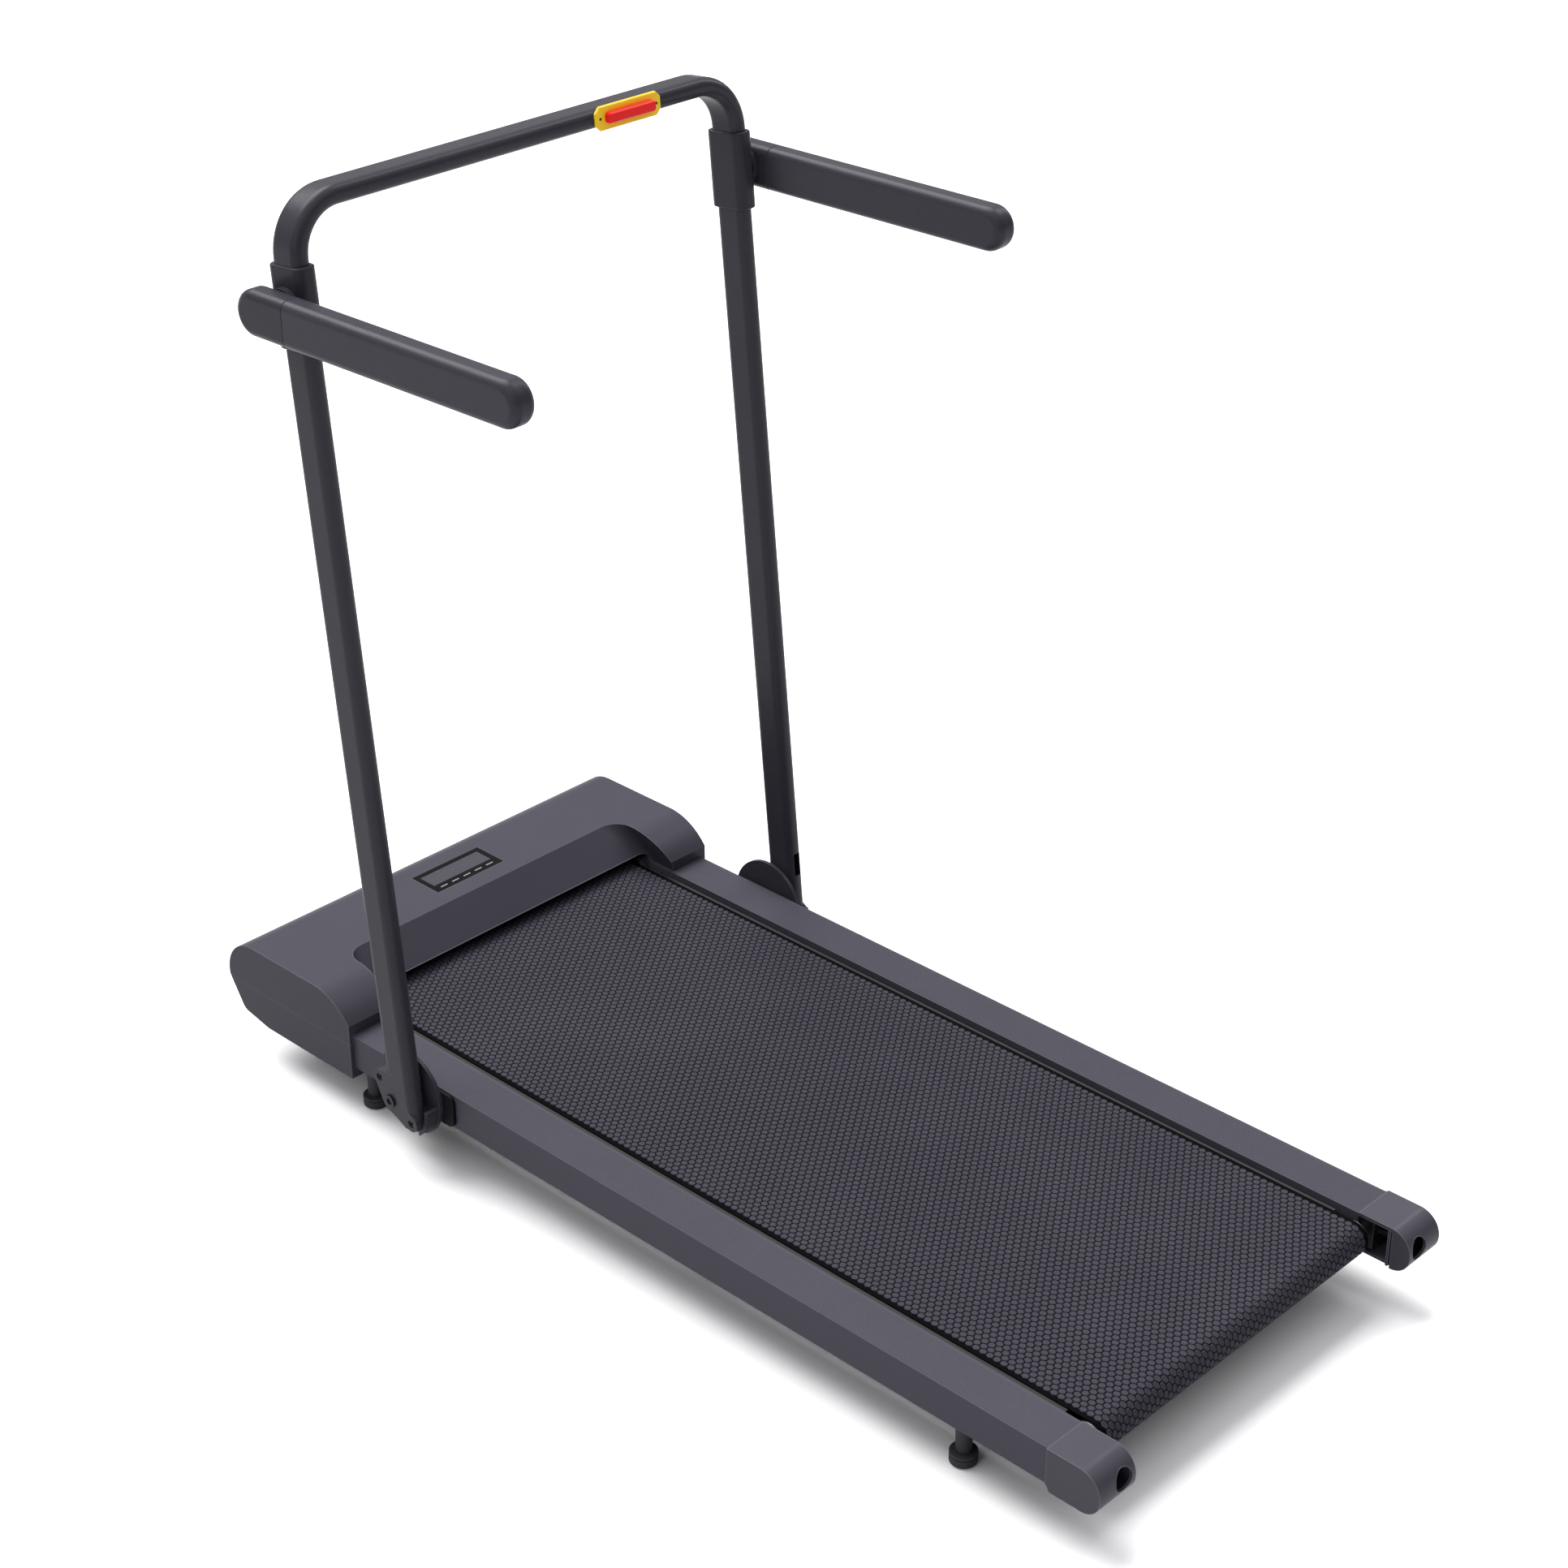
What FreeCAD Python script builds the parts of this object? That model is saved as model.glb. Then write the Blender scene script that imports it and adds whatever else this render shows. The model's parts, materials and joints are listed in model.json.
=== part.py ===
import FreeCAD, Part
import Sketcher
import math
import os
import re

# A folding treadmill (walking pad) with a fold-down handlebar, in millimetres.
# +Y is the way the walker faces, +X is to the walker's right, and +Z is up.
# The origin is on the floor, under the middle of the machine.

SIZES = {
    # frame
    "overall_length": 1210.4,
    "rail_inner": 212,
    "rail_width": 48,
    "rail_height": 39.5,
    "rail_bottom": 57.5,
    "rail_wall": 2.5,
    "rail_front": 505,
    "cap_length": 60.9,
    "cap_proud": 2,
    "cap_rise": 1,
    "cap_drop": 6.2,
    "cap_wall": 3,
    "cap_top_radius": 24,
    "cap_heel_radius": 21,
    "cap_hole_radius": 11.5,
    "member_width": 30,
    "member_belt_gap": 2.9,
    # deck, belt and rollers
    "board_thickness": 15,
    "board_side_gap": 4,
    "cushion_height": 4,
    "running_gap": 0.3,
    "fit_gap": 0.05,
    "belt_side_gap": 9,
    "belt_thickness": 1.6,
    "belt_below_rail": 3,
    "roller_radius": 16.2,
    "roller_side_gap": 6.5,
    "axle_radius": 6,
    "front_roller_y": 458,
    "rear_roller_y": -545.8,
    "tensioner_width": 25,
    "tensioner_length": 40,
    "bolt_inset": 16,
    "bolt_seat": 24,
    "bolt_radius": 4,
    "bolt_head_radius": 6.5,
    "bolt_head_height": 6,
    # motor
    "motor_y": 531,
    "motor_z": 84,
    "motor_radius": 32,
    "motor_length": 120,
    "motor_pulley_radius": 9,
    "roller_pulley_radius": 20,
    "pulley_width": 7,
    "drive_belt_thickness": 1.5,
    "tray_thickness": 3,
    # hood
    "hood_overhang": 5,
    "hood_rear": 400.7,
    "hood_bottom": 45,
    "hood_top": 139,
    "hood_wall": 3,
    "hood_lobe_height": 110.5,
    "hood_lobe_run": 22.3,
    "hood_lobe_radius": 70,
    "hood_nose_radius": 44,
    "hood_seam": 87,
    "seam_gap": 0.5,
    "recess_top_inset": 10,
    "recess_low_lap": 3,
    "recess_top_y": 482,
    "recess_low_y": 436.5,
    "recess_top_corner": 24,
    "recess_low_corner": 7,
    "belt_mouth": 106,
    "display_width": 97,
    "display_depth": 45,
    "display_y": 528,
    "display_border": 6.5,
    "display_strip": 14,
    "inlet_y": 529,
    "switch_y": 556,
    "socket_z": 68,
    # feet and wheels
    "front_foot_y": 400.2,
    "rear_foot_y": -429.8,
    "foot_radius": 13.5,
    "foot_height": 13,
    "foot_stem_radius": 8,
    "foot_travel": 8,
    "wheel_inset": 27,
    "wheel_y": 530,
    "wheel_z": 28,
    "wheel_radius": 14,
    "wheel_width": 14,
    # folding handle
    "pivot_y": 300.7,
    "pivot_z": 79,
    "pivot_disc_radius": 48,
    "pivot_disc_thickness": 4,
    "cup_radius": 46,
    "cup_wall": 4,
    "hinge_plate_thickness": 4,
    "hinge_plate_rear": 63,
    "pivot_bolt_radius": 5,
    "pivot_head_radius": 7,
    "ear_thickness": 3,
    "ear_pivot_margin": 13.5,
    "ear_bolt_margin": 9,
    "spacer_wall": 3.5,
    "screw_head_radius": 4.4,
    "post_stand": 23.7,
    "post_width": 20,
    "post_depth": 39,
    "post_corner": 9.4,
    "post_wall": 1.8,
    "post_lean": 5.46,
    "post_offset": 14.7,
    "post_drop": 23.5,
    "bar_height": 1015.1,
    "bar_bend": 51,
    "collar_width": 24.5,
    "collar_depth": 48,
    "collar_corner": 10,
    "collar_bottom": 881,
    "collar_top": 960.7,
    "arm_offset": 31.1,
    "arm_thickness": 27,
    "arm_height": 45.4,
    "arm_edge": 9,
    "arm_level": 920.7,
    "arm_pitch": 0.82,
    "arm_front": 36.8,
    "arm_rear": 346.4,
    "arm_seam": 32.5,
    "arm_seam_gap": 0.6,
    "boss_radius": 21,
    "arm_pin_radius": 6,
    "key_x": 127,
    "key_width": 88,
    "key_height": 24,
    "key_plate": 3,
    "key_bar_width": 64,
    "key_bar_height": 11,
    "key_bar_depth": 7,
}

# What fits between the rails, stands on them or lies inside the belt follows from the sizes above.
FOLLOWING = {
    "member_height": "=2 * roller_radius - board_thickness - cushion_height - member_belt_gap",
    "board_half_width": "=rail_inner - board_side_gap",
    "belt_half_width": "=rail_inner - belt_side_gap",
    "roller_half_length": "=rail_inner - roller_side_gap",
    "bolt_x": "=rail_inner + bolt_inset",
    "hood_half_width": "=rail_inner + rail_width + hood_overhang",
    "recess_top_half": "=rail_inner - recess_top_inset",
    "recess_low_half": "=rail_inner + recess_low_lap",
    "foot_x": "=rail_inner + rail_width / 2",
    "wheel_x": "=rail_inner - wheel_inset",
    "post_x": "=rail_inner + rail_width + post_stand",
}
CELLS = SIZES | FOLLOWING

document = FreeCAD.newDocument("Treadmill")
sheet = document.addObject("Spreadsheet::Sheet", "Sizes")
for row, (alias, content) in enumerate(CELLS.items(), start=1):
    sheet.set(f"A{row}", alias)
    sheet.set(f"B{row}", str(content))
    sheet.setAlias(f"B{row}", alias)
document.recompute()

SIDES = {"left": -1, "right": 1}
sub_parts = []


# ---- expressions ----------------------------------------------------------

def bound(expression):
    """Turn an expression in the sheet's aliases into one that names the sheet."""
    return re.sub(r"[a-z_]+", lambda word: ("Sizes." if word[0] in CELLS else "") + word[0], str(expression))


def value(expression):
    """Work an expression out in millimetres or degrees."""
    return float(sheet.evalExpression(bound(expression)))


RAIL_TOP = "( rail_bottom + rail_height )"
RAIL_OUTER = "( rail_inner + rail_width )"
RAIL_MIDDLE = "( rail_inner + rail_width / 2 )"
TAIL = "( 0 - overall_length / 2 )"
NOSE = "( overall_length / 2 )"
RAIL_REAR = f"( {TAIL} + cap_length )"
BELT_INNER = "( roller_radius + running_gap )"
BELT_OUTER = f"( {BELT_INNER} + belt_thickness )"
ROLLER_Z = f"( {RAIL_TOP} - belt_below_rail - {BELT_OUTER} )"
BOARD_TOP = f"( {ROLLER_Z} + {BELT_INNER} - running_gap )"
BOARD_BOTTOM = f"( {BOARD_TOP} - board_thickness )"
MEMBER_TOP = f"( {BOARD_BOTTOM} - cushion_height )"
MEMBER_BOTTOM = f"( {MEMBER_TOP} - member_height )"
TRAY_BOTTOM = "( hood_bottom + hood_wall )"
TRAY_TOP = f"( {TRAY_BOTTOM} + tray_thickness )"
PULLEY_START = "( roller_half_length + 0.2 )"
DISC_INNER = f"( {RAIL_OUTER} + hinge_plate_thickness + 2 * running_gap )"
DISC_OUTER = f"( {DISC_INNER} + pivot_disc_thickness )"
POST_OUTER = "( post_x + post_width / 2 )"
POST_INNER = "( post_x - post_width / 2 )"
POST_BOTTOM = "( pivot_z - post_drop )"
ARM_X = "( post_x + arm_offset )"
ARM_INNER = f"( {ARM_X} - arm_thickness / 2 )"
COLLAR_OUTER = "( post_x + collar_width / 2 )"


# ---- building blocks ------------------------------------------------------

def mark(item):
    """Keep an object as one of the machine's sub-parts."""
    sub_parts.append(item)
    return item


def bind(item, **expressions):
    """Bind properties; two underscores stand for a dot in a property's path."""
    for path, expression in expressions.items():
        item.setExpression(path.replace("__", "."), bound(expression))


def place(item, x=0, y=0, z=0):
    bind(item, Placement__Base__x=x, Placement__Base__y=y, Placement__Base__z=z)
    return item


def box(label, x, y, z):
    """A block between two bounds along each axis, every bound an expression."""
    item = document.addObject("Part::Box", label)
    bind(item, Length=f"( {x[1]} ) - ( {x[0]} )", Width=f"( {y[1]} ) - ( {y[0]} )",
         Height=f"( {z[1]} ) - ( {z[0]} )")
    return place(item, x[0], y[0], z[0])


def sided(side, low, high):
    """The X bounds of something on one side, from distances off the middle."""
    if side > 0:
        return (low, high)
    return (f"0 - ( {high} )", f"0 - ( {low} )")


TURNS = {
    "X": FreeCAD.Rotation(FreeCAD.Vector(0, 1, 0), 90),
    "Y": FreeCAD.Rotation(FreeCAD.Vector(1, 0, 0), -90),
    "Z": FreeCAD.Rotation(),
}


def rod(label, axis, start, radius, length):
    """A cylinder from a start point along one axis."""
    item = document.addObject("Part::Cylinder", label)
    item.Placement = FreeCAD.Placement(FreeCAD.Vector(), TURNS[axis])
    bind(item, Radius=radius, Height=length)
    return place(item, *start)


def side_rod(label, side, near, far, y, z, radius):
    """A cylinder along X on one side of the machine, between two distances."""
    low, high = sided(side, near, far)
    return rod(label, "X", (low, y, z), radius, f"( {high} ) - ( {low} )")


def cut(label, base, *tools):
    """Take tools from a base, one boolean after another."""
    tool = tools[0] if len(tools) == 1 else fuse(label + "_tools", *tools)
    item = document.addObject("Part::Cut", label)
    item.Base = base
    item.Tool = tool
    return item


def fuse(label, *items):
    item = document.addObject("Part::MultiFuse", label)
    item.Shapes = list(items)
    return item


def common(label, first, second):
    item = document.addObject("Part::Common", label)
    item.Base = first
    item.Tool = second
    return item


def group(label, *items):
    """Separate equal solids that share one node, such as fasteners."""
    item = document.addObject("Part::Compound", label)
    item.Links = list(items)
    return item


def plane_of(body, role):
    return [feature for feature in body.Origin.OriginFeatures if feature.Role == role][0]


def outline(body, label, role, corners):
    """A closed sketch of straight lines whose corners are pairs of expressions."""
    sketch = body.newObject("Sketcher::SketchObject", label + "_sketch")
    sketch.AttachmentSupport = [(plane_of(body, role), "")]
    sketch.MapMode = "FlatFace"
    points = [FreeCAD.Vector(value(across), value(along), 0) for across, along in corners]
    count = len(points)
    for index in range(count):
        sketch.addGeometry(Part.LineSegment(points[index], points[(index + 1) % count]), False)
    for index in range(count):
        sketch.addConstraint(Sketcher.Constraint("Coincident", index, 2, (index + 1) % count, 1))
    for index, (across, along) in enumerate(corners):
        for kind, expression in (("DistanceX", across), ("DistanceY", along)):
            rule = Sketcher.Constraint(kind, -1, 1, index, 1, value(expression))
            number = sketch.addConstraint(rule)
            sketch.setExpression(f"Constraints[{number}]", bound(expression))
    return sketch


NORMALS = {"YZ_Plane": FreeCAD.Vector(1, 0, 0), "XY_Plane": FreeCAD.Vector(0, 0, 1),
           "XZ_Plane": FreeCAD.Vector(0, -1, 0)}


def flat_place(role, across, along):
    """Where a sketch's point lies in space, on its plane."""
    if role == "YZ_Plane":
        return FreeCAD.Vector(0, across, along)
    if role == "XZ_Plane":
        return FreeCAD.Vector(across, 0, along)
    return FreeCAD.Vector(across, along, 0)


def prism(label, role, corners, start, length, rounds=()):
    """A padded outline; rounds lists (corner numbers, radius) along the pad's edges."""
    body = document.addObject("PartDesign::Body", label)
    sketch = outline(body, label, role, corners)
    bind(sketch, AttachmentOffset__Base__z=start)
    pad = body.newObject("PartDesign::Pad", label + "_pad")
    pad.Profile = sketch
    bind(pad, Length=length)
    document.recompute()
    for number, (picked, radius) in enumerate(rounds):
        last = body.Tip
        names = []
        for corner in picked:
            across, along = corners[corner]
            spot = flat_place(role, value(across), value(along))
            names.append(edge_at(last.Shape, spot, NORMALS[role]))
        fillet = body.newObject("PartDesign::Fillet", f"{label}_round_{number}")
        fillet.Base = (last, names)
        bind(fillet, Radius=radius)
        document.recompute()
    return body


def edge_at(shape, spot, direction):
    """The name of the straight edge along a direction that passes nearest to a point."""
    best = None
    for number, edge in enumerate(shape.Edges, start=1):
        if not isinstance(edge.Curve, Part.Line):
            continue
        if edge.Curve.Direction.cross(direction).Length > 1e-6:
            continue
        offset = (edge.CenterOfMass - spot).cross(direction).Length
        if best is None or offset < best[0]:
            best = (offset, f"Edge{number}")
    return best[1]


def turned(label, role, profile, axis, x=0, y=0, z=0):
    """A revolved outline, as a lathe makes it, about a sketch axis of its plane."""
    body = document.addObject("PartDesign::Body", label)
    sketch = outline(body, label, role, profile)
    revolution = body.newObject("PartDesign::Revolution", label + "_turning")
    revolution.Profile = sketch
    revolution.ReferenceAxis = (sketch, [axis])
    return place(body, x, y, z)


def bored_bar(label, low, high, outer, bore, y, z):
    """A turned sleeve along X."""
    profile = [(low, bore), (high, bore), (high, outer), (low, outer)]
    return turned(label, "XY_Plane", profile, "H_Axis", 0, y, z)


def lift(item, rise, run=0):
    """Lean an object forward with the handle, then put it at the handle's foot."""
    item.Placement = FreeCAD.Placement(FreeCAD.Vector(), FreeCAD.Rotation(FreeCAD.Vector(-1, 0, 0), 1))
    bind(item, Placement__Rotation__Angle="post_lean")
    lean = "post_lean * 1 deg"
    return place(item, 0,
                 f"{FOOT_Y} + ( {rise} ) * sin( {lean} ) + ( {run} ) * cos( {lean} )",
                 f"pivot_z + ( {rise} ) * cos( {lean} ) - ( {run} ) * sin( {lean} )")


FOOT_Y = "( pivot_y - post_offset )"


def up_post(height):
    """How far along the leaning post a height lies above the pivot's level."""
    return f"( ( ( {height} ) - pivot_z ) / cos( post_lean * 1 deg ) )"


def section(width, depth, radius):
    """A rounded rectangle about the origin, in the XY plane, as one closed wire."""
    half_x, half_y = width / 2, depth / 2
    edges = []
    for turn, (side_x, side_y) in enumerate(((1, 1), (-1, 1), (-1, -1), (1, -1))):
        middle = FreeCAD.Vector(side_x * (half_x - radius), side_y * (half_y - radius), 0)
        spokes = [FreeCAD.Vector(radius * math.cos(angle), radius * math.sin(angle), 0)
                  for angle in (math.pi / 2 * turn, math.pi / 2 * (turn + 0.5), math.pi / 2 * (turn + 1))]
        edges.append(Part.Arc(*[middle + spoke for spoke in spokes]).toShape())
    joined = []
    for index, edge in enumerate(edges):
        following = edges[(index + 1) % 4]
        joined.append(edge)
        ends = edge.valueAt(edge.LastParameter), following.valueAt(following.FirstParameter)
        if (ends[0] - ends[1]).Length > 1e-6:
            joined.append(Part.LineSegment(*ends).toShape())
    return Part.Wire(joined)


def formed(label, shape):
    """A sub-part whose shape comes from Part's own functions."""
    item = document.addObject("Part::Feature", label)
    item.Shape = shape
    return item


def bar_solid(width, depth, radius, low, high):
    """A straight rounded bar along Z."""
    face = Part.Face(section(width, depth, radius))
    face.translate(FreeCAD.Vector(0, 0, low))
    return face.extrude(FreeCAD.Vector(0, 0, high - low))


# ---- frame ----------------------------------------------------------------

def make_rail(name, side):
    outer = box(f"rail_bar_{name}", sided(side, "rail_inner", RAIL_OUTER),
                (RAIL_REAR, "rail_front"), ("rail_bottom", RAIL_TOP))
    hollow = box(f"rail_hollow_{name}",
                 sided(side, "rail_inner + rail_wall", f"{RAIL_OUTER} - rail_wall"),
                 (f"{RAIL_REAR} - 1", "rail_front + 1"),
                 ("rail_bottom + rail_wall", f"{RAIL_TOP} - rail_wall"))
    axle_hole = side_rod(f"rail_axle_hole_{name}", side, "rail_inner - 1", "rail_inner + rail_wall + 1",
                         "front_roller_y", ROLLER_Z, "axle_radius + fit_gap")
    pivot_hole = side_rod(f"rail_pivot_hole_{name}", side, f"{RAIL_OUTER} - rail_wall - 1",
                          f"{RAIL_OUTER} + 1", "pivot_y", "pivot_z", "pivot_bolt_radius + fit_gap")
    nut_way = side_rod(f"rail_nut_way_{name}", side, f"{RAIL_OUTER} - rail_wall - 10",
                       f"{RAIL_OUTER} - rail_wall", "pivot_y", "pivot_z",
                       "pivot_head_radius + 1 + running_gap")
    foot_holes = [rod(f"rail_foot_hole_{name}_{spot}", "Z", (f"{side} * foot_x", y, "rail_bottom - 1"),
                      "foot_stem_radius + running_gap", "rail_wall + 2")
                  for spot, y in (("front", "front_foot_y"), ("rear", "rear_foot_y"))]
    axle_slot = box(f"rail_axle_slot_{name}", sided(side, "rail_inner - 1", "rail_inner + rail_wall + 1"),
                    (f"{RAIL_REAR} - 1", "rear_roller_y + axle_radius + 8"),
                    (f"{ROLLER_Z} - axle_radius - 1", f"{ROLLER_Z} + axle_radius + 1"))
    mark(cut(f"side_rail_{name}", outer, hollow, axle_hole, pivot_hole, nut_way, axle_slot, *foot_holes))


def make_cross_member(name, y):
    outer = box(f"{name}_bar", ("0 - rail_inner", "rail_inner"),
                (f"{y} - member_width / 2", f"{y} + member_width / 2"), (MEMBER_BOTTOM, MEMBER_TOP))
    hollow = box(f"{name}_hollow", ("0 - rail_inner - 1", "rail_inner + 1"),
                 (f"{y} - member_width / 2 + 1.5", f"{y} + member_width / 2 - 1.5"),
                 (f"{MEMBER_BOTTOM} + 1.5", f"{MEMBER_TOP} - 1.5"))
    mark(cut(name, outer, hollow))


MEMBER_PLACES = {
    "rear_cross_member": "( rear_roller_y + 60 )",
    "middle_cross_member": "( ( rear_roller_y + front_roller_y ) / 2 )",
    "front_cross_member": "( front_roller_y - 60 )",
}


def make_end_cap(name, side):
    low, high = sided(side, "rail_inner", f"{RAIL_OUTER} + cap_proud")
    bottom = "( rail_bottom - cap_drop )"
    top = f"( {RAIL_TOP} + cap_rise )"
    corners = [(RAIL_REAR, f"{bottom} + 8"), (RAIL_REAR, top), (TAIL, top), (TAIL, bottom),
               (f"{RAIL_REAR} - 5", bottom)]
    shell = prism(f"cap_block_{name}", "YZ_Plane", corners, low, f"( {high} ) - ( {low} )",
                  [([2], "cap_top_radius"), ([3], "cap_heel_radius")])
    inner = [(f"{RAIL_REAR} + 1", f"{bottom} + cap_wall"), (f"{RAIL_REAR} + 1", f"{top} - cap_wall"),
             (f"{TAIL} + cap_wall", f"{top} - cap_wall"), (f"{TAIL} + cap_wall", f"{bottom} + cap_wall")]
    low_in, high_in = sided(side, "rail_inner + cap_wall", f"{RAIL_OUTER} + cap_proud - cap_wall")
    hollow = prism(f"cap_hollow_{name}", "YZ_Plane", inner, low_in, f"( {high_in} ) - ( {low_in} )",
                   [([2], "cap_top_radius - cap_wall"), ([3], "cap_heel_radius - cap_wall")])
    window = box(f"cap_window_{name}", sided(side, "rail_inner - 1", "rail_inner + cap_wall + 1"),
                 (f"{TAIL} + 22", f"{RAIL_REAR} + 1"), (f"{bottom} - 1", f"{RAIL_TOP} - cap_wall"))
    hole = rod(f"cap_hole_{name}", "Y", (f"{side} * bolt_x", f"{TAIL} - 1", BOLT_Z), "cap_hole_radius",
               "cap_wall + 17")
    skin = cut(f"cap_skin_{name}", shell, hollow, window, hole)
    web = box(f"cap_web_{name}", sided(side, "rail_inner + 0.5", f"{RAIL_OUTER} + cap_proud - 1"),
              (f"{TAIL} + bolt_seat", f"{TAIL} + bolt_seat + cap_wall"), (f"{bottom} + 1", f"{top} - 1"))
    bore = rod(f"cap_bore_{name}", "Y", (f"{side} * bolt_x", f"{TAIL} + bolt_seat - 2", BOLT_Z),
               "bolt_radius + fit_gap", "cap_wall + 4")
    mark(cut(f"end_cap_{name}", fuse(f"cap_whole_{name}", skin, web), bore))


BOLT_Z = f"( {ROLLER_Z} + 1 )"
BLOCK_REAR = f"( {RAIL_REAR} - 16 )"
BOLT_GRIP = "6"


def make_tensioner(name, side):
    """The block that slides in the rail's end and carries the rear axle."""
    low, high = sided(side, "rail_inner + cap_wall + running_gap",
                      "rail_inner + cap_wall + running_gap + tensioner_width")
    block = box(f"tensioner_bar_{name}", (low, high), (BLOCK_REAR, f"{BLOCK_REAR} + tensioner_length"),
                ("rail_bottom + rail_wall + running_gap", f"{RAIL_TOP} - rail_wall - running_gap"))
    bore = side_rod(f"tensioner_bore_{name}", side, "rail_inner", "rail_inner + tensioner_width + 9",
                    "rear_roller_y", ROLLER_Z, "axle_radius")
    thread = rod(f"tensioner_thread_{name}", "Y", (f"{side} * bolt_x", f"{BLOCK_REAR} - 1", BOLT_Z),
                 "bolt_radius", f"{BOLT_GRIP} + 1")
    return cut(f"tensioner_{name}", block, bore, thread)


def make_tension_bolt(name, side):
    tip = f"( {BLOCK_REAR} - {TAIL} - bolt_seat + {BOLT_GRIP} )"
    profile = [("0", "0 - bolt_head_height"), ("bolt_head_radius", "0 - bolt_head_height"),
               ("bolt_head_radius", "0"), ("bolt_radius", "0"), ("bolt_radius", tip), ("0", tip)]
    bolt = turned(f"tension_bolt_blank_{name}", "XY_Plane", profile, "V_Axis", f"{side} * bolt_x",
                  f"{TAIL} + bolt_seat", BOLT_Z)
    socket = rod(f"tension_bolt_socket_{name}", "Y",
                 (f"{side} * bolt_x", f"{TAIL} + bolt_seat - 1 - bolt_head_height", BOLT_Z),
                 "bolt_radius * 0.8", "4.5")
    return cut(f"tension_bolt_{name}", bolt, socket)


def make_frame():
    for name, side in SIDES.items():
        make_rail(name, side)
        make_end_cap(name, side)
    for name, y in MEMBER_PLACES.items():
        make_cross_member(name, y)
    mark(group("belt_tensioners", *[make_tensioner(name, side) for name, side in SIDES.items()]))
    mark(group("tension_bolts", *[make_tension_bolt(name, side) for name, side in SIDES.items()]))


# ---- deck, belt and rollers -----------------------------------------------

def stadium(label, radius, half_width):
    """A flat loop's outline about both roller axes, as a solid across the machine."""
    span = box(label + "_span", (f"0 - ( {half_width} )", half_width), ("rear_roller_y", "front_roller_y"),
               (f"{ROLLER_Z} - ( {radius} )", f"{ROLLER_Z} + ( {radius} )"))
    ends = [rod(f"{label}_{name}_end", "X", (f"0 - ( {half_width} )", y, ROLLER_Z), radius,
                f"2 * ( {half_width} )")
            for name, y in (("rear", "rear_roller_y"), ("front", "front_roller_y"))]
    return fuse(label, span, *ends)


def make_deck():
    board_rear, board_front = "( rear_roller_y + 25 )", "( front_roller_y - 25 )"
    mark(prism("walking_board", "XY_Plane",
               [("0 - board_half_width", board_rear), ("board_half_width", board_rear),
                ("board_half_width", board_front), ("0 - board_half_width", board_front)],
               BOARD_BOTTOM, "board_thickness"))
    cushions = []
    for member, y in MEMBER_PLACES.items():
        for name, side in SIDES.items():
            cushions.append(rod(f"cushion_{member}_{name}", "Z", (f"{side} * 160", y, MEMBER_TOP), 11,
                                "cushion_height"))
    mark(group("deck_cushions", *cushions))
    loop = stadium("belt_outside", BELT_OUTER, "belt_half_width")
    core = stadium("belt_inside", BELT_INNER, "belt_half_width + 1")
    mark(cut("running_belt", loop, core))


def make_rollers():
    bore = "( axle_radius + fit_gap )"
    pulley_end = f"( {PULLEY_START} + pulley_width - 1 )"
    profile = [("0 - roller_half_length", bore), (pulley_end, bore), (pulley_end, "roller_pulley_radius"),
               (PULLEY_START, "roller_pulley_radius"), (PULLEY_START, "roller_radius"),
               ("0 - roller_half_length", "roller_radius")]
    mark(turned("drive_roller", "XY_Plane", profile, "H_Axis", 0, "front_roller_y", ROLLER_Z))
    mark(bored_bar("rear_roller", "0 - roller_half_length", "roller_half_length", "roller_radius", bore,
                   "rear_roller_y", ROLLER_Z))
    for name, y, reach in (("drive_roller_axle", "front_roller_y", "rail_inner + rail_wall + 8"),
                           ("rear_roller_axle", "rear_roller_y", "rail_inner + cap_wall + tensioner_width")):
        mark(rod(name, "X", (f"0 - ( {reach} )", y, ROLLER_Z), "axle_radius", f"2 * ( {reach} )"))


# ---- motor compartment ----------------------------------------------------

def make_motor():
    motor_high = "( roller_half_length - 25 )"
    motor_low = f"( {motor_high} - motor_length )"
    casing = [(motor_low, "0"), (motor_high, "0"), (motor_high, "motor_radius - 4"),
              (f"{motor_high} - 4", "motor_radius"), (f"{motor_low} + 4", "motor_radius"),
              (motor_low, "motor_radius - 4")]
    mark(turned("drive_motor", "XY_Plane", casing, "H_Axis", 0, "motor_y", "motor_z"))
    shaft_start = f"( {motor_high} + running_gap )"
    pulley = [(shaft_start, "0"), (f"{PULLEY_START} + pulley_width - 1", "0"),
              (f"{PULLEY_START} + pulley_width - 1", "motor_pulley_radius"),
              (f"{PULLEY_START} - 1", "motor_pulley_radius"), (f"{PULLEY_START} - 1", "4"),
              (shaft_start, "4")]
    mark(turned("motor_pulley", "XY_Plane", pulley, "H_Axis", 0, "motor_y", "motor_z"))
    cradle = box("cradle_block", (f"{motor_low} + 15", f"{motor_high} - 15"),
                 ("motor_y - 26", "motor_y + 18"), (TRAY_TOP, "motor_z - 6"))
    seat = rod("cradle_seat", "X", (f"{motor_low}", "motor_y", "motor_z"), "motor_radius + fit_gap",
               "motor_length + 5")
    mark(cut("motor_cradle", cradle, seat))
    tray = box("tray_plate", ("0 - rail_inner + 7", "rail_inner - 7"), ("front_roller_y + 30", "motor_y + 7"),
               (TRAY_BOTTOM, TRAY_TOP))
    tabs = [box(f"tray_tab_{name}", sided(side, "rail_inner - 7", "rail_inner + 16"),
                ("rail_front - 17", "rail_front - 1"), (TRAY_BOTTOM, "rail_bottom"))
            for name, side in SIDES.items()]
    mark(fuse("motor_tray", tray, *tabs))


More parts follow.
